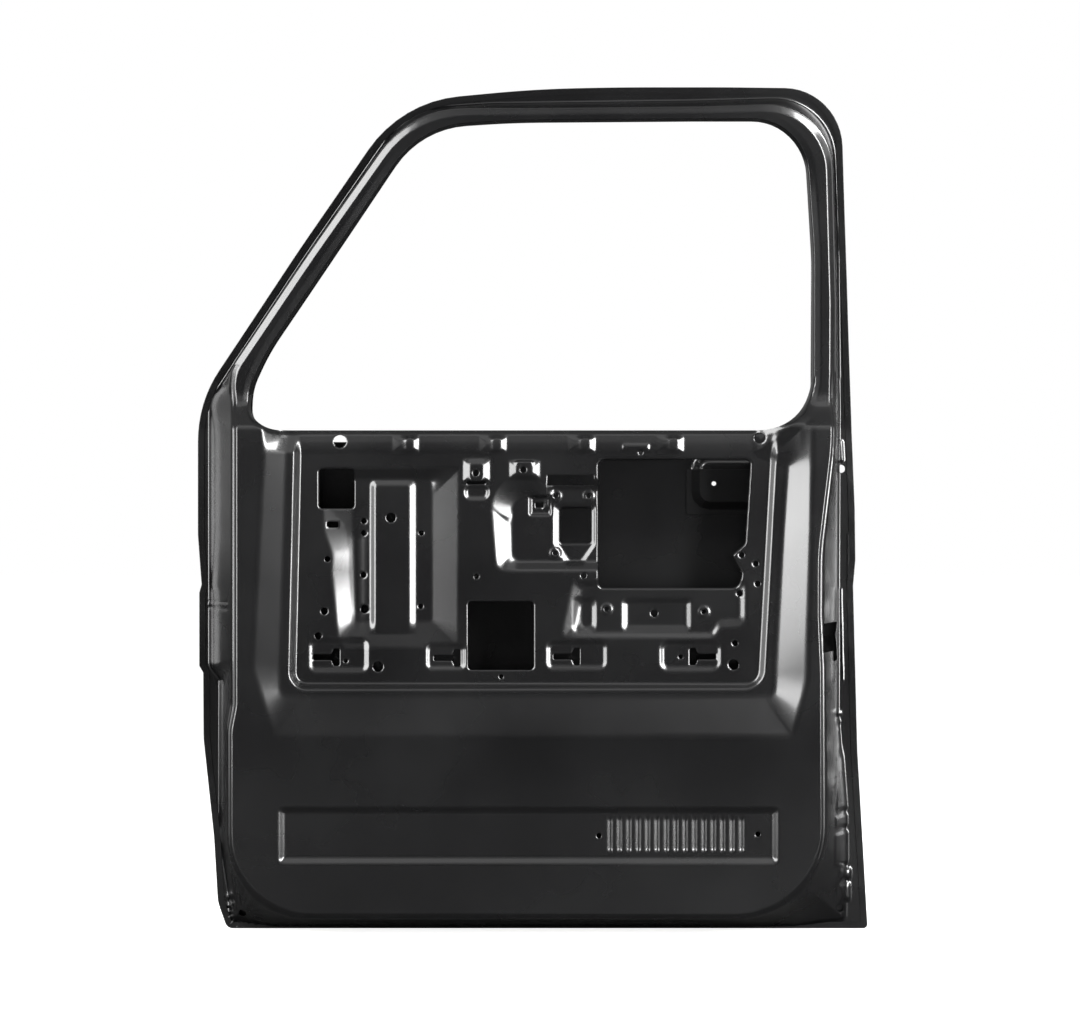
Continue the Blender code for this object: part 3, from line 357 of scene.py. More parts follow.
LATCH_HOLE = rounded([
    (434, 424.5, 2), (453, 424.5, 1), (454, 409, 2), (464, 409, 2), (463, 426, 2),
    (459.5, 446, 6), (463.5, 468, 1), (434, 468, 2)])
D_HOLE = rounded([
    (468, 694.5, 1), (471.5, 693.8, 4), (476, 697, 4), (476, 704, 4), (471.5, 707, 4),
    (468, 706.3, 1)])
LOUVRE_COUNT, LOUVRE_PITCH, LOUVRE_X = 15, 14.0, 111.0
LOUVRE_Z, LOUVRE_W, LOUVRE_H, LOUVRE_END, LOUVRE_DEPTH = 126.0, 8.0, 55.0, 5.0, 2.1


def edge_y(z):
    """Outside of the door along its hemmed edge: upright to the belt, then leaning in by a
    parabola."""
    rise = np.maximum(z - LEAN_Z, 0.0)
    return EDGE_Y - EDGE_LEAN * rise - EDGE_LEAN_CURVE * rise ** 2


def face_y(z):
    """Inboard face: upright to the belt, then a hollow slope out to the frame's face, steep
    at the belt and easing off upwards, and then a straight lean back in."""
    rise = z - LEAN_Z
    left = 1.0 - eased(rise / FRAME_SET_HEIGHT, 0.12)
    hollow = FRAME_SET * (1.0 - left ** 1.6)
    return FACE_Y + hollow - FACE_LEAN * np.maximum(rise - FRAME_SET_HEIGHT * 0.6, 0.0)


def louvres(x, z):
    """A row of louvres: each sinks slowly from the left and comes back sharply on the right,
    with rounded ends."""
    row = (x - LOUVRE_X) / LOUVRE_PITCH
    place = row - np.floor(row)
    within = (row > 0) & (row < LOUVRE_COUNT)
    across = place * LOUVRE_PITCH / LOUVRE_W
    sink = eased(across / 0.7, 0.3) * eased((1.0 - across) / 0.2, 0.3)
    end = np.minimum(z - LOUVRE_Z, LOUVRE_Z + LOUVRE_H - z)
    return LOUVRE_DEPTH * sink * eased(end / LOUVRE_END, 0.4) * within


def streak(x, z, start, end, width, depth):
    """A narrow ridge or groove along a straight run, with a bell-shaped section."""
    y = np.zeros(x.shape)
    (ax, az), (bx, bz) = start, end
    close = near(x, z, np.array((start, end), float), 3.5 * width)
    px, pz = x[close] - ax, z[close] - az
    dx, dz = bx - ax, bz - az
    share = np.clip((px * dx + pz * dz) / max(dx * dx + dz * dz, 1e-9), 0.0, 1.0)
    away = (px - share * dx) ** 2 + (pz - share * dz) ** 2
    y[close] = depth * np.exp(-away / width ** 2)
    return y


def wrinkles(x, z):
    """Draw wrinkles of the lower hinge corner, fanning out from the drain hole: a sine over
    the angle, strongest a thumb's width from the hole."""
    dx, dz = x - CORNER_HOLES[0][0], z - CORNER_HOLES[0][1]
    far = np.hypot(dx, dz)
    fan = np.sin(WRINKLES * np.arctan2(dz, dx) + WRINKLE_TWIST * far)
    return WRINKLE_DEPTH * fan * np.exp(-((far - WRINKLE_RING) / WRINKLE_BAND) ** 2)


def seams_and_beads(x, z):
    """Small lines of the stamping: hinge pad creases, the corner rib, and sealer beads."""
    y = wrinkles(x, z)
    for start, end, width, depth in STREAKS:
        y += streak(x, z, start, end, width, depth)
    for k in range(SEALER_DOTS):
        along = k / (SEALER_DOTS - 1)
        dot_x = SEALER_TOP[0] + SEALER_RUN[0] * along
        dot_z = SEALER_TOP[1] + SEALER_RUN[1] * along
        y += streak(x, z, (dot_x, dot_z), (dot_x, dot_z + 1.0), SEALER_DOT_W, SEALER_DOT_DEPTH)
    return y


def walls_y(x, z, flange, face):
    """From the flange, the side walls take a share of the way to a ledge, and a slope the
    rest of the way to the face. Up the frame the ledge becomes a shoulder, which is deeper
    at the rear and shallower along the header. On the latch side its edge has a chamfer."""
    up = ramp(z, *FRAME_STARTS)
    rear = ramp(x, *TO_REAR) * ramp(z, *REAR_SHOULDER_TOP)
    shoulder = SHOULDER_FRONT + (SHOULDER_REAR - SHOULDER_FRONT) * rear
    header = ramp(x, *HEADER_LEFT) * ramp(x, *HEADER_RIGHT)
    shoulder -= SHOULDER_HEADER * header * ramp(z, *HEADER_LOW)
    ledge = np.minimum(face + LEDGE_STEP + (shoulder - LEDGE_STEP) * up, flange)
    wall = pressed(x, z, SIDE_WALLS, 2.5)
    wall += up * (pressed(x, z, FRAME_WALLS, 1.5) - wall)
    slope = pressed(x, z, LEDGE, 1.6)
    slope += up * (pressed(x, z, SHOULDER, 1.4) - slope)
    chamfer = CHAMFER * (1.0 - up) * ramp(x, *TO_REAR)
    chamfer = np.minimum(chamfer, flange - ledge)
    y = flange + wall * (ledge + chamfer - flange) + slope * (face - ledge)
    return y - chamfer * pressed(x, z, LEDGE_CHAMFER, 0.5)


def inner_y(x, z):
    """Inboard side of the inner panel: the side walls and the face, the armrest's step, the
    field's step, the belt strip set at one depth, and then each pressed form's depth times
    its share, the louvres, the small lines and the window's edge."""
    flange = edge_y(z) - OUTER_T - GAP - INNER_T
    latch_side = LATCH_SIDE_RISE * ramp(x, *LATCH_SIDE) * ramp(z, *LATCH_SIDE_BELOW)
    y = walls_y(x, z, flange, face_y(z) - latch_side)
    armrest = pressed(x, z, ARMREST, 5.0)
    rise = HINGE_SIDE_RISE * np.clip(0.5 - x / (2.0 * FIELD_RIGHT), 0.0, 1.0)
    y += armrest * (ARMREST_STEP - rise + latch_side)
    strip = eased((z - BELT_Z + BELT_STRIP) / BELT_STRIP, 0.08)
    y += pressed(x, z, FIELD_LOOPS, 2.5) * (FIELD_STEP + rise) * (1.0 - strip)
    strip *= 1.0 - STRIP_REAR_FADE * ramp(x, *STRIP_REAR)
    y += strip * armrest * (FACE_Y + BELT_SET - y)
    level = FACE_Y + ARMREST_STEP + FIELD_STEP
    y += pressed(x, z, RIB_PAN, 3.0) * RIB_PAN_DEPTH
    y += pressed(x, z, RIB, 2.2) * (np.minimum(y, level + RIB_DEPTH) - y)
    y += np.maximum(pressed(x, z, HANDLE_PAN, 3.0), pressed(x, z, HOOD, 3.0)) * HANDLE_DEPTH
    for loops, depth, soft in FIELD_FORMS + SIDE_FORMS + [TRIM_PANEL]:
        y += pressed(x, z, loops, soft) * depth
    y += louvres(x, z)
    y += seams_and_beads(x, z)
    return y + window_edge(x, z)


def window_edge(x, z):
    """Depth added by the window's edge: a small roll at the sill. Up the pillars it is a
    wide slope and a narrow lip, and the slope dies out along the header."""
    to_window = -signed_distance(x, z, WINDOW_LOOP)
    upper = ramp(z, *SILL_ENDS)
    pillar = upper * (1.0 - PILLAR_SLOPE_FADE * ramp(z, *PILLAR_SLOPE_TOP))
    sill = eased(1.0 - to_window / SILL_LIP_W, 0.35) * SILL_LIP * (1.0 - upper)
    slope = eased(1.0 - to_window / FRAME_SLOPE_W, 0.15) * FRAME_SLOPE * pillar
    return sill + slope + eased(1.0 - to_window / FRAME_LIP_W, 0.3) * FRAME_LIP * upper


def inner_holes():
    """Every hole of the inner panel with the width and depth of its rolled edge."""
    holes = list(BIG_HOLES)
    holes += [(loop, 1.5, 0.7) for loop in SLOT_HOLES + KEYHOLES + [LATCH_HOLE]]
    holes += [(disc(*h), 1.5, 0.7) for h in ROUND_HOLES + CORNER_HOLES]
    holes += [(disc(x, z, NUT_HOLE_R), 1.5, 0.7) for x, z in NUT_PLACES]
    holes.append((D_HOLE, 1.0, 0.0))
    return holes


# Meshes

def everything(x, z):
    """Every face, for the last piece that a sheet is cut into."""
    return x < np.inf


def lines(*stretches):
    """Grid lines over stretches of (start, end, step)."""
    parts = [np.linspace(a, b, max(2, round((b - a) / (step * COARSE)) + 1))[:-1]
             for a, b, step in stretches]
    return np.append(np.concatenate(parts), stretches[-1][1])


# Shares of a cell outside and inside an edge, within which grid points move onto it
SNAP_OUT, SNAP_IN = 0.65, 0.35


def slide_to_edge(x, z, solid, x_step, z_step):
    """Move the grid points close to the zero line of solid onto it, along its slope. Returns
    the points, which of them belong to the sheet, and which have moved."""
    gx = np.gradient(solid, x[0], axis=1)
    gz = np.gradient(solid, z[:, 0], axis=0)
    size = np.maximum(np.hypot(gx, gz), 1e-6)
    gx, gz = gx / size, gz / size
    reach = np.abs(gx) * x_step + np.abs(gz) * z_step
    kept = solid > -SNAP_OUT * reach
    moved = kept & (solid <= SNAP_IN * reach)
    x = np.where(moved, x - solid * gx, x)
    z = np.where(moved, z - solid * gz, z)
    return x, z, kept, moved


def cells(kept, moved):
    """Quads of the grid cells whose corners all belong, and triangles where three do and
    one of them is inside."""
    rows, cols = kept.shape
    index = np.arange(rows * cols).reshape(rows, cols)
    corner = np.stack((index[:-1, :-1], index[:-1, 1:], index[1:, 1:], index[1:, :-1]), axis=-1)
    inside, on_edge = kept.ravel()[corner], moved.ravel()[corner]
    quads = corner[inside.all(-1) & ~on_edge.all(-1)]
    triangles = []
    for missing in range(4):
        rest = [k for k in range(4) if k != missing]
        three = ~inside[..., missing] & inside[..., rest].all(-1) & ~on_edge[..., rest].all(-1)
        triangles.append(corner[three][:, rest])
    return quads, np.concatenate(triangles)


def point_normals(points, quads, triangles):
    """Unit normals of the points: the sum of the crossed diagonals or sides of their faces."""
    total = np.zeros_like(points)
    for faces in (quads, triangles):
        if not len(faces):
            continue
        a, b = points[faces[:, 0]], points[faces[:, 1]]
        c, d = points[faces[:, 2]], points[faces[:, -1]]
        normal = np.cross(c - a, d - b) if faces.shape[1] == 4 else np.cross(b - a, c - a)
        for k in range(faces.shape[1]):
            for axis in range(3):
                total[:, axis] += np.bincount(faces[:, k], normal[:, axis], len(points))
    return total / np.maximum(np.linalg.norm(total, axis=1), 1e-9)[:, None]


def rim(quads, triangles, count):
    """Directed sides that only one face has."""
    sides = [faces[:, [k, (k + 1) % faces.shape[1]]]
             for faces in (quads, triangles) for k in range(faces.shape[1])]
    sides = np.concatenate(sides)
    forward = sides[:, 0] * count + sides[:, 1]
    backward = sides[:, 1] * count + sides[:, 0]
    return sides[~np.isin(forward, backward)]


def add_piece(name, points, faces, normals, material, node):
    """A mesh piece from points in millimetres. normals holds one normal for each point, and
    a face marked flat keeps its own."""
    used, packed = np.unique(np.concatenate([f.ravel() for f, _ in faces]), return_inverse=True)
    mesh = bpy.data.meshes.new(name)
    sizes = np.concatenate([np.full(len(f), f.shape[1]) for f, _ in faces])
    flats = np.concatenate([np.full(f.size, flat) for f, flat in faces])
    mesh.vertices.add(len(used))
    mesh.vertices.foreach_set("co", (points[used] * MM).ravel())
    mesh.loops.add(len(packed))
    mesh.loops.foreach_set("vertex_index", packed)
    mesh.polygons.add(len(sizes))
    mesh.polygons.foreach_set("loop_start", np.concatenate(([0], np.cumsum(sizes)[:-1])))
    mesh.polygons.foreach_set("use_smooth", np.concatenate(
        [np.full(len(f), not flat) for f, flat in faces]))
    mesh.update(calc_edges=True)
    corner_normals = np.where(flats[:, None], 0.0, normals[used][packed])
    mesh.normals_split_custom_set(corner_normals.tolist())
    mesh.materials.append(material)
    piece = bpy.data.objects.new(name, mesh)
    bpy.context.scene.collection.objects.link(piece)
    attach(piece, "root")
    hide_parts(node)


def sheet(x_lines, z_lines, height, solid):
    """The seen side of a pressed sheet over a grid, at the height given for each point: its
    points, their normals, and its faces."""
    x, z = np.meshgrid(x_lines, z_lines)
    x_step = np.gradient(x_lines)[None, :]
    z_step = np.gradient(z_lines)[:, None]
    x, z, kept, moved = slide_to_edge(x, z, solid(x, z), x_step, z_step)
    quads, triangles = cells(kept, moved)
    flat_x, flat_z = x.ravel(), z.ravel()
    used = np.zeros(flat_x.size, bool)
    used[quads.ravel()] = True
    used[triangles.ravel()] = True
    y = np.zeros(flat_x.size)
    y[used] = height(flat_x[used], flat_z[used])
    points = np.column_stack((flat_x, y, flat_z))
    normals = point_normals(points, quads, triangles)
    return points, normals, quads, triangles


def split_sheet(points, normals, quads, triangles, thickness, parts, material, slot, node):
    """Cut a sheet into named pieces, each a closed shell: its seen side, a second side that
    lies thickness behind it along the normals, and its rim. parts holds (name, which), where
    which says from x and z whether a face belongs."""
    count = len(points)
    both = np.vstack((points, points - thickness * normals))
    both_normals = np.vstack((normals, -normals))
    left = np.ones(len(quads), bool), np.ones(len(triangles), bool)
    for name, which in parts:
        own = []
        for faces, free in zip((quads, triangles), left):
            middle = points[faces].mean(1)
            take = free & which(middle[:, 0], middle[:, 2])
            free &= ~take
            own.append(faces[take])
        sides = rim(*own, count)
        walls = np.column_stack((sides[:, 1], sides[:, 0], sides[:, 0] + count,
                                 sides[:, 1] + count))
        faces = [(own[0], False), (own[0][:, ::-1] + count, False), (own[1], False),
                 (own[1][:, ::-1] + count, False), (walls, True)]
        add_piece(name, both, faces, both_normals, material, node)


# Where the sheets are cut into pieces
SHOULDER_CUT_X, SHOULDER_CUT_Z, HEADER_CUT_X, FOOT_CUT_Z = -60.0, 735.0, 60.0, 210.0
HINGE_CUT_X, LATCH_CUT_X, ARMREST_CUT_Z = -340.0, 330.0, 392.0
RIB_CUT_X, OPENING_CUT_X, SKIN_CUT_Z = -105.0, 97.0, 740.0

# The window frame's own grid runs along these loops, from the flange to the opening
FRAME_RAILS = [(INNER_LOOP, 7), (FRAME_WALLS[0], 14), (FRAME_WALLS[1], 5), (SHOULDER[0], 13),
               (SHOULDER[1], 16), (rounded(shifted(WINDOW, -FRAME_SLOPE_W)), 14),
               (rounded(shifted(WINDOW, -FRAME_LIP_W)), 5), (WINDOW_LOOP, 0)]
FRAME_FROM = ((446.5, 838.0), (-438.0, 851.0))
FRAME_STEP, FRAME_TUCK, FRAME_PAST, FRAME_SPAN, RAIL_REACH = 3.5, 0.35, 3.0, 9.0, 60.0


def frame_stations():
    """Points along the face edge from the foot of the rear pillar, over the header, to the
    foot of the front pillar, and the direction into the window at each."""
    loop = divided(LEDGE[1], 1.0)
    first, last = (np.argmin(np.hypot(*(loop - np.array(end)).T)) for end in FRAME_FROM)
    path = loop[first:last + 1]
    along = np.concatenate(([0.0], np.cumsum(np.hypot(*np.diff(path, axis=0).T))))
    places = np.linspace(0.0, along[-1], round(along[-1] / (FRAME_STEP * COARSE)) + 1)
    places = np.concatenate(([-FRAME_PAST], places, [along[-1] + FRAME_PAST]))
    ahead = np.clip(places + FRAME_SPAN, 0.0, along[-1])
    behind = np.clip(places - FRAME_SPAN, 0.0, along[-1])
    point = [np.interp(places, along, path[:, k]) for k in (0, 1)]
    run = [np.interp(ahead, along, path[:, k]) - np.interp(behind, along, path[:, k])
           for k in (0, 1)]
    size = np.hypot(*run)
    run = np.array(run) / size
    past = places - np.clip(places, 0.0, along[-1])
    point = np.array(point) + run * past
    return point.T, np.column_stack((-run[1], run[0]))


STATIONS, INTO_WINDOW = frame_stations()


def to_rail(loop):
    """How far each station's line into the window runs to a loop: the zero between the two
    samples where the loop's distance changes sign."""
    reach = np.arange(-RAIL_REACH, RAIL_REACH + 0.5, 1.0)
    places = STATIONS[:, None] + INTO_WINDOW[:, None] * reach[None, :, None]
    inside = signed_distance(places[..., 0], places[..., 1], loop)
    change = (inside[:, :-1] < 0) != (inside[:, 1:] < 0)
    cost = np.where(change, np.abs(reach[:-1]), 1e6)
    pick = cost.argmin(1)
    rows = np.arange(len(pick))
    low, high = inside[rows, pick], inside[rows, pick + 1]
    return reach[pick] + low / (low - high)


def frame_grid():
    """Grid over the window frame: rows at even shares between the rails, columns at the
    stations."""
    reach = np.array([to_rail(loop) for loop, _ in FRAME_RAILS])
    reach = np.maximum.accumulate(reach, axis=0)
    rows = []
    for k, (_, count) in enumerate(FRAME_RAILS[:-1]):
        count = max(2, round(count / COARSE))
        rows += [reach[k] + (reach[k + 1] - reach[k]) * i / count for i in range(count)]
    rows = np.array(rows + [reach[-1]])
    return STATIONS[:, 0] + INTO_WINDOW[:, 0] * rows, STATIONS[:, 1] + INTO_WINDOW[:, 1] * rows


def below_frame(x, z):
    """Distance below the frame's first line on the rear pillar, and its last on the front. All
    that lies under the start of the frame's section counts as below."""
    measure = np.zeros(x.shape)
    for k, side, sign in ((1, x > 0, 1.0), (-2, x <= 0, -1.0)):
        run = sign * np.array((INTO_WINDOW[k, 1], -INTO_WINDOW[k, 0]))
        away = (x - STATIONS[k, 0]) * run[0] + (z - STATIONS[k, 1]) * run[1]
        measure = np.where(side, -away, measure)
    return np.maximum(measure, FRAME_STARTS[0] - z)


def make_window_frame(material):
    """The window frame of the inner panel, on a grid that runs round the opening. Its two
    ends are tucked a little behind the door's grid."""
    x, z = frame_grid()
    y = inner_y(x.ravel(), z.ravel()).reshape(x.shape)
    y[:, [0, -1]] += FRAME_TUCK
    kept = np.ones(x.shape, bool)
    quads, triangles = cells(kept, ~kept)
    points = np.column_stack((x.ravel(), y.ravel(), z.ravel()))
    normals = point_normals(points, quads, triangles)
    parts = [("inner_panel_front_pillar", lambda x, z: x < HEADER_CUT_X),
             ("inner_panel_rear_pillar", everything)]
    split_sheet(points, normals, quads, triangles, INNER_T, parts, material, "black_primer",
                "inner_panel")


def pierced(solid, x, z, loops):
    """An inside measure with holes: nowhere more than the distance out of each loop."""
    for loop in loops:
        close = near(x, z, loop, HOLE_REACH)
        solid[close] = np.minimum(solid[close], -signed_distance(x[close], z[close], loop))
    return solid


def inner_solid(x, z):
    """Inside measure of the inner panel below the window frame: the least of the distances
    into its outline, out of the window, below the frame and out of each hole."""
    solid = np.minimum(signed_distance(x, z, INNER_LOOP), -signed_distance(x, z, WINDOW_LOOP))
    solid = np.minimum(solid, below_frame(x, z))
    return pierced(solid, x, z, [loop for loop, *_ in inner_holes()])


def inner_height(x, z):
    """Inner panel with the edges of its holes rolled outboard along a quarter of a circle."""
    y = inner_y(x, z)
    for loop, width, depth in inner_holes():
        close = near(x, z, loop, width + 1.0)
        away = np.clip(-signed_distance(x[close], z[close], loop) / width, 0.0, 1.0)
        y[close] += depth * (1.0 - np.sqrt(1.0 - (1.0 - away) ** 2))
    return y


def make_inner_panel(material):
    """The inner stamping in pieces that meet on one grid."""
    x_lines = lines((-512, -430, 1.7), (-430, -360, 2.2), (-360, 360, 1.6), (360, 425, 2.2),
                    (425, 448, 0.9), (448, 512, 1.4))
    z_lines = lines((0, 40, 1.8), (40, 105, 3.0), (105, 200, 1.7), (200, 300, 4.0),
                    (300, 378, 2.2), (378, 757, 1.6), (757, 900, 1.6))
    built = sheet(x_lines, z_lines, inner_height, inner_solid)
    parts = [("inner_panel_front_shoulder",
              lambda x, z: (z > SHOULDER_CUT_Z) & (x < SHOULDER_CUT_X)),
             ("inner_panel_rear_shoulder", lambda x, z: z > SHOULDER_CUT_Z),
             ("inner_panel_foot", lambda x, z: z < FOOT_CUT_Z),
             ("inner_panel_hinge_side", lambda x, z: x < HINGE_CUT_X),
             ("inner_panel_latch_side", lambda x, z: x > LATCH_CUT_X),
             ("inner_panel_armrest", lambda x, z: z < ARMREST_CUT_Z),
             ("inner_panel_field_front", lambda x, z: x < RIB_CUT_X),
             ("inner_panel_field_middle", lambda x, z: x < OPENING_CUT_X),
             ("inner_panel_field_rear", everything)]
    split_sheet(*built, INNER_T, parts, material, "black_primer", "inner_panel")
    make_window_frame(material)


OUTER_LOOP = rounded(OUTLINE)
SKIN_LOOP = rounded(shifted(OUTLINE, SKIN_SET))
OUTER_WINDOW_LOOP = rounded(shifted([(x, z - OUTER_BELT_DROP if z == BELT_Z else z, r)
                                     for x, z, r in WINDOW], -OUTER_WINDOW_SET))
CROWN_LOOPS = form([(-455, 16, 0), (482, 16, 0), (462, 300, 0), (458, 560, 0), (456, 800, 0),
                    (-478, 800, 0), (-482, 560, 0), (-470, 250, 0)], CROWN_WALL)
CUP = form(box(*HANDLE_CUP, CUP_RADIUS), CUP_WALL)
OUTER_HOLES = [D_HOLE, disc(276, 678, 3.6), disc(352, 678, 3.6), disc(380, 594, 13),
               disc(-402, 690, 4), disc(-366, 664, 4), disc(-402, 640, 4)]
HEM_SECTION = [(0.6, 0.0), (0.15, 0.2), (0.0, 0.7), (0.0, 2.8), (0.15, 3.3), (0.6, 3.5),
               (1.0, 3.1), (1.0, 0.4)]
HEM_DEPTH = 2 * OUTER_T + 2 * GAP + INNER_T
HEM_RIPPLE, HEM_WAVE_X, HEM_WAVE_Z, HEM_BEAT_Z = 0.25, 9.0, 13.0, 21.0


def outer_y(x, z):
    """Inboard side of the outer panel: its edge line, a crown that swells away from the edge,
    a wide soft body line, the cup behind the outside handle, and the window's return."""
    across = np.clip(1.0 - (x / HALF_WIDTH) ** 2, 0.0, 1.0)
    up = np.clip(z / BELT_Z, 0.0, CROWN_TOP)
    swell = CROWN * np.sqrt(across) * 4.0 * up * (CROWN_TOP - up)
    below = eased((BODY_LINE_Z - z) / BODY_LINE_W, 0.3) * ramp(z, *BODY_LINE_FADE)
    y = edge_y(z) - OUTER_T
    y += pressed(x, z, CROWN_LOOPS, 20.0) * (swell - BODY_LINE_STEP * below)
    y -= pressed(x, z, CUP, 4.0) * CUP_DEPTH
    to_window = -signed_distance(x, z, OUTER_WINDOW_LOOP)
    return y - eased(1.0 - to_window / OUTER_RETURN_W, 0.35) * OUTER_RETURN


def skin_solid(x, z):
    """Inside measure of the outer panel: into its outline, and out of its window and holes."""
    solid = np.minimum(signed_distance(x, z, SKIN_LOOP),
                       -signed_distance(x, z, OUTER_WINDOW_LOOP))
    return pierced(solid, x, z, OUTER_HOLES)


def hem_solid(x, z):
    """Inside measure of the folded lip: a band of even width along the outline."""
    inside = signed_distance(x, z, SKIN_LOOP)
    return np.minimum(inside, HEM_WIDTH - inside)


def hem_y(x, z):
    """Inboard side of the folded lip, a little uneven as pressed hems are."""
    ripple = HEM_RIPPLE * np.sin(x / HEM_WAVE_X + z / HEM_WAVE_Z) * np.sin(z / HEM_BEAT_Z)
    return edge_y(z) - HEM_DEPTH + ripple


BELT_PLATE = disc(340, 745.5, 11)


def make_belt_plate(material):
    """Blanking plate behind the rear hole of the belt strip: a round patch that follows the
    back of the inner panel."""
    built = sheet(lines((326, 354, 1.4)), lines((731, 760, 1.4)),
                  lambda x, z: inner_y(x, z) + INNER_T + PLATE_GAP,
                  lambda x, z: signed_distance(x, z, BELT_PLATE))
    split_sheet(*built, OUTER_T, [("belt_blanking_plate", everything)], material,
                "black_primer", "inner_panel")


def make_outer_panel(material):
    """The outer skin, the lip folded round the inner panel's flange, and the fold."""
    x_lines = lines((-512, 512, 3.2))
    z_lines = lines((0, 560, 4.0), (560, 600, 1.6), (600, 740, 3.0), (740, 1272, 3.0))
    built = sheet(x_lines, z_lines, outer_y, skin_solid)
    parts = [("outer_panel_frame", lambda x, z: z > SKIN_CUT_Z),
             ("outer_panel_skin", everything)]
    split_sheet(*built, OUTER_T, parts, material, "black_primer", "outer_panel")
    fine = lines((-512, 512, 2.4)), lines((0, 1272, 2.4))
    lip = sheet(*fine, hem_y, hem_solid)
    split_sheet(*lip, OUTER_T, [("hem_lip", everything)], material, "black_primer",
                "outer_panel")
    outline = divided(OUTER_LOOP, 4.0)
    ahead = np.roll(outline, -1, axis=0) - np.roll(outline, 1, axis=0)
    ahead /= np.linalg.norm(ahead, axis=1)[:, None]
    inward = np.column_stack((-ahead[:, 1], ahead[:, 0]))
    section = np.array(HEM_SECTION)
    flat = outline[:, None] + inward[:, None] * section[None, :, :1]
    depth = edge_y(outline[:, 1])[:, None] - section[None, :, 1]
    points = np.stack((flat[..., 0], depth, flat[..., 1]), axis=-1).reshape(-1, 3)
    quads = ring_quads(len(outline), len(section))
    add_piece("hem_fold", points, [(quads, False)], point_normals(points, quads, []), material,
              "outer_panel")


def ring_quads(around, section):
    """Quads of a closed section swept round a closed line."""
    k, m = np.meshgrid(np.arange(around), np.arange(section), indexing="ij")
    after, above = (k + 1) % around, (m + 1) % section
    return np.stack((k * section + m, k * section + above, after * section + above,
                     after * section + m), axis=-1).reshape(-1, 4)


# Finishes

def ranged(tree, value, low, high, out_low, out_high):
    """A node output that runs from one number to another as a value goes from low to high."""
    node = tree.nodes.new("ShaderNodeMapRange")
    for key, number in (("From Min", low), ("From Max", high), ("To Min", out_low),
                        ("To Max", out_high)):
        node.inputs[key].default_value = number
    tree.links.new(value, node.inputs["Value"])
    return node.outputs["Result"]


def primer(name, colour, roughness, grain, gloss=1.0):
    """Black electro-coat primer: a dark ground under a soft clear gloss. Wide faint clouds change
    its tone and its roughness, and orange peel of the given grain its surface. A gloss below 1
    weakens the sheen and the coat, and is used to make parts inside the door darker as painted
    shade."""
    material = bpy.data.materials.new(name)
    material.use_nodes = True
    tree = material.node_tree
    nodes, links = tree.nodes, tree.links
    shader = nodes["Principled BSDF"]
    place = nodes.new("ShaderNodeTexCoord")

    def noise(scale, detail):
        texture = nodes.new("ShaderNodeTexNoise")
        texture.inputs["Scale"].default_value = scale
        texture.inputs["Detail"].default_value = detail
        links.new(place.outputs["Object"], texture.inputs["Vector"])
        return texture.outputs["Fac"]

    clouds = noise(5.0, 4.0)
    tint = nodes.new("ShaderNodeMix")
    tint.data_type = "RGBA"
    tint.inputs["A"].default_value = (*[c * 0.85 for c in colour], 1.0)
    tint.inputs["B"].default_value = (*[c * 1.25 for c in colour], 1.0)
    links.new(ranged(tree, clouds, 0.3, 0.7, 0.0, 1.0), tint.inputs["Factor"])
    links.new(tint.outputs["Result"], shader.inputs["Base Color"])
    links.new(ranged(tree, clouds, 0.3, 0.7, roughness - 0.04, roughness + 0.05),
              shader.inputs["Roughness"])
    shader.inputs["IOR"].default_value = 1.5
    shader.inputs["Specular IOR Level"].default_value = 0.5 * gloss
    shader.inputs["Coat Weight"].default_value = 0.6 * gloss
    shader.inputs["Coat Roughness"].default_value = 0.12
    shader.inputs["Coat IOR"].default_value = 1.5
    bump = nodes.new("ShaderNodeBump")
    bump.inputs["Strength"].default_value = 0.05
    bump.inputs["Distance"].default_value = 0.0004
    links.new(noise(grain, 2.0), bump.inputs["Height"])
    links.new(bump.outputs["Normal"], shader.inputs["Normal"])
    return material


# Studio

CAMERA_PLACE = (0.01106, -5.138, 0.6308)
CAMERA_LENS = 113.62
SIDE_TARGET, TOP_TARGET = (0.0, 0.0, 0.62), (0.0, 0.0, 0.7)
FLOOR_TONE = 0.82


def aim(thing, place, target):
    """Put a lamp or camera at a place, looking at a target."""
    thing.location = place
    thing.rotation_euler = (Vector(target) - Vector(place)).to_track_quat("-Z", "Y").to_euler()


def add_lamp(name, place, target, size, radiance):
    """A rectangular soft lamp. Its power is radiance x area x pi."""
    light = bpy.data.lights.new(name, "AREA")
    light.shape = "RECTANGLE"
    light.size, light.size_y = size
    light.energy = radiance * size[0] * size[1] * math.pi
    lamp = bpy.data.objects.new(name, light)
    bpy.context.scene.collection.objects.link(lamp)
    aim(lamp, place, target)


def make_camera():
    """Camera square to the door, level with the middle of the picture."""
    camera_data = bpy.data.cameras.new("camera")
    camera_data.lens = CAMERA_LENS
    camera_data.sensor_width = 36.0
    camera_data.sensor_fit = "HORIZONTAL"
    camera = bpy.data.objects.new("camera", camera_data)
    bpy.context.scene.collection.objects.link(camera)
    camera.location = CAMERA_PLACE
    camera.rotation_euler = (math.radians(90.0), 0.0, 0.0)
    bpy.context.scene.camera = camera


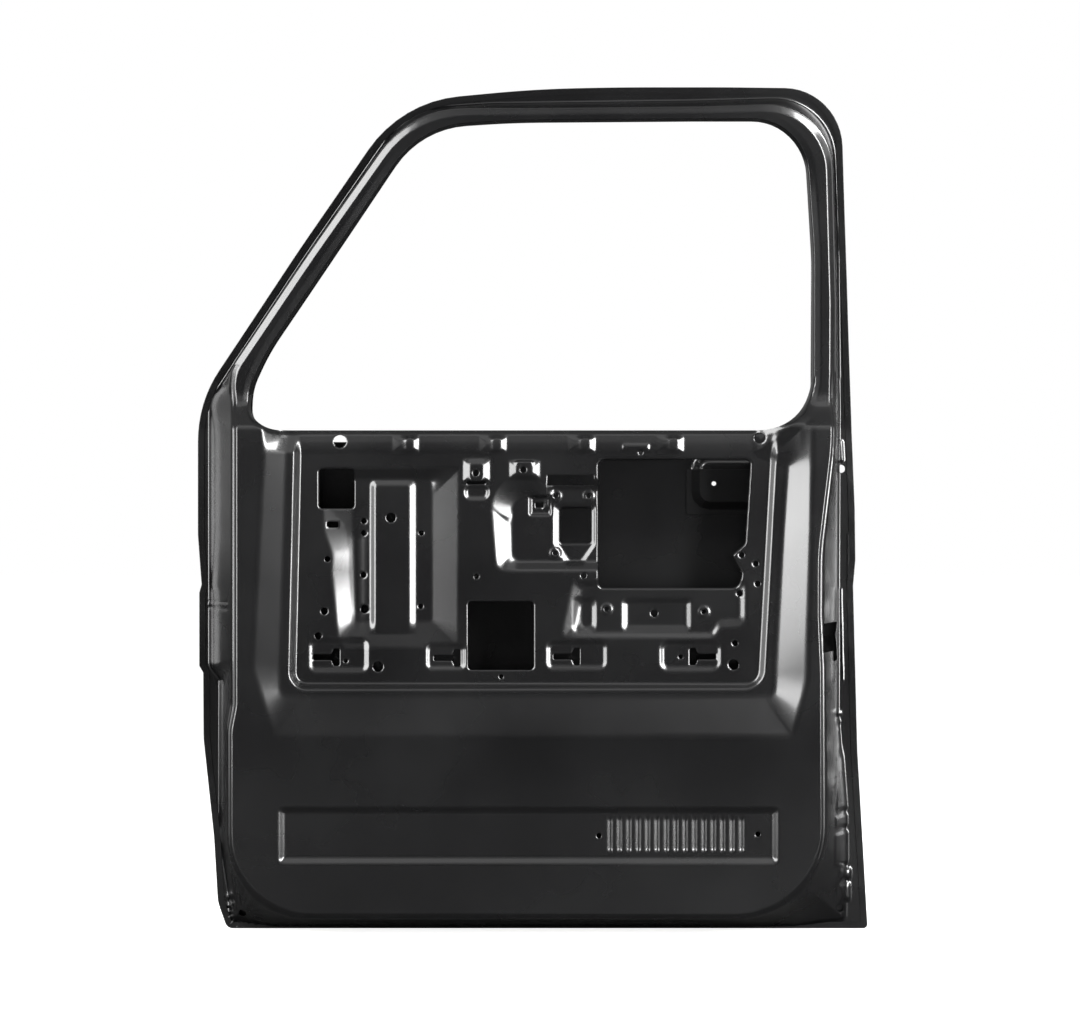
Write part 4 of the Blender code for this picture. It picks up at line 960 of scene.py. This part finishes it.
def make_world():
    """White to the camera. To everything else it is dark on the cab's side, brighter on the
    far side of the hinge edge, and a little brighter above than below."""
    world = bpy.data.worlds.new("studio")
    bpy.context.scene.world = world
    world.use_nodes = True
    tree = world.node_tree
    nodes, links = tree.nodes, tree.links
    background = nodes["Background"]
    path = nodes.new("ShaderNodeLightPath")
    place = nodes.new("ShaderNodeTexCoord")
    parts = nodes.new("ShaderNodeSeparateXYZ")
    links.new(place.outputs["Generated"], parts.inputs[0])

    def joined(operation, first, second):
        node = nodes.new("ShaderNodeMath")
        node.operation = operation
        links.new(first, node.inputs[0])
        links.new(second, node.inputs[1])
        return node.outputs[0]

    level = joined("MULTIPLY", ranged(tree, parts.outputs["X"], -0.2, 0.35, 1.0, 0.1),
                   ranged(tree, parts.outputs["Z"], 0.1, 0.6, 1.0, 0.15))
    far_side = joined("MULTIPLY", ranged(tree, parts.outputs["Y"], -0.1, 0.5, 0.0, 0.18), level)
    total = joined("ADD", far_side, ranged(tree, parts.outputs["Z"], -0.2, 0.9, 0.03, 0.3))
    strength = nodes.new("ShaderNodeMix")
    strength.data_type = "FLOAT"
    links.new(path.outputs["Is Camera Ray"], strength.inputs["Factor"])
    links.new(total, strength.inputs["A"])
    strength.inputs["B"].default_value = 1.0
    links.new(strength.outputs["Result"], background.inputs["Strength"])
    background.inputs["Color"].default_value = (1.0, 1.0, 1.0, 1.0)


def make_floor():
    """A pale floor that the camera sees as white, with the door's shadow on it. Reflections
    in the door see it dark."""
    bpy.ops.mesh.primitive_plane_add(size=60.0, location=(0.0, 0.0, -0.001))
    floor = bpy.context.object
    floor.name = "floor"
    material = bpy.data.materials.new("floor")
    material.use_nodes = True
    nodes, links = material.node_tree.nodes, material.node_tree.links
    shader = nodes["Principled BSDF"]
    shader.inputs["Roughness"].default_value = 0.9
    path = nodes.new("ShaderNodeLightPath")
    tone = nodes.new("ShaderNodeMix")
    tone.data_type = "RGBA"
    tone.inputs["A"].default_value = (FLOOR_TONE, FLOOR_TONE, FLOOR_TONE, 1.0)
    tone.inputs["B"].default_value = (0.03, 0.03, 0.03, 1.0)
    links.new(path.outputs["Is Glossy Ray"], tone.inputs["Factor"])
    links.new(tone.outputs["Result"], shader.inputs["Base Color"])
    shader.inputs["Emission Color"].default_value = (1.0, 1.0, 1.0, 1.0)
    glow = nodes.new("ShaderNodeMath")
    glow.operation = "MULTIPLY"
    glow.inputs[1].default_value = FLOOR_TONE
    links.new(path.outputs["Is Camera Ray"], glow.inputs[0])
    links.new(glow.outputs[0], shader.inputs["Emission Strength"])
    floor.data.materials.append(material)


def side_lamp(name, angle, distance, height, size, radiance):
    """A lamp at an angle from straight ahead, towards +X, round the door's middle."""
    turn = math.radians(angle)
    place = (distance * math.sin(turn), -distance * math.cos(turn), height)
    add_lamp(name, place, SIDE_TARGET, size, radiance)


def make_lamps():
    """A strong tall box on each side with a wide dim one beyond it, a faint one behind the
    latch edge, and two dim ones above."""
    side_lamp("right_key", 43.0, 3.2, 1.55, (0.95, 3.0), 30.0)
    side_lamp("right_wash", 62.0, 3.4, 0.9, (1.8, 2.4), 2.2)
    side_lamp("right_edge", 108.0, 3.0, 0.9, (1.2, 2.4), 0.4)
    side_lamp("left_key", -46.0, 3.2, 1.55, (1.25, 3.2), 12.5)
    side_lamp("left_wash", -66.0, 3.4, 0.9, (1.8, 2.4), 2.4)
    add_lamp("top", (0.0, -1.9, 3.3), TOP_TARGET, (3.2, 1.2), 0.8)
    add_lamp("top_front", (0.0, -3.0, 2.5), TOP_TARGET, (3.2, 0.9), 0.3)


def main():
    """Dress the part and light it."""
    black = primer("black_primer", (0.0022, 0.0022, 0.0024), 0.26, 380.0)
    # The steel parts inside the door are primed steel, but their primer is made darker and duller
    # than the panels' so that they read as lying in shade: partly real primer, partly painted
    # shade.
    shaded_steel = primer("primed_steel", (0.003, 0.003, 0.0032), 0.4, 600.0, 0.35)
    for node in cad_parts.values():
        node.data.materials.clear()
        node.data.materials.append(black if node.name == "outer_panel" else shaded_steel)
    make_inner_panel(black)
    # The blanking plate gets a darker primer with almost no gloss, so that it stands in for the
    # shade inside the belt strip's rear hole: painted shade.
    make_belt_plate(primer("dull_primer", (0.002, 0.002, 0.0022), 0.5, 600.0, 0.1))
    make_outer_panel(black)
    make_camera()
    make_world()
    make_floor()
    make_lamps()
    bpy.context.scene.view_settings.view_transform = "Standard"


main()
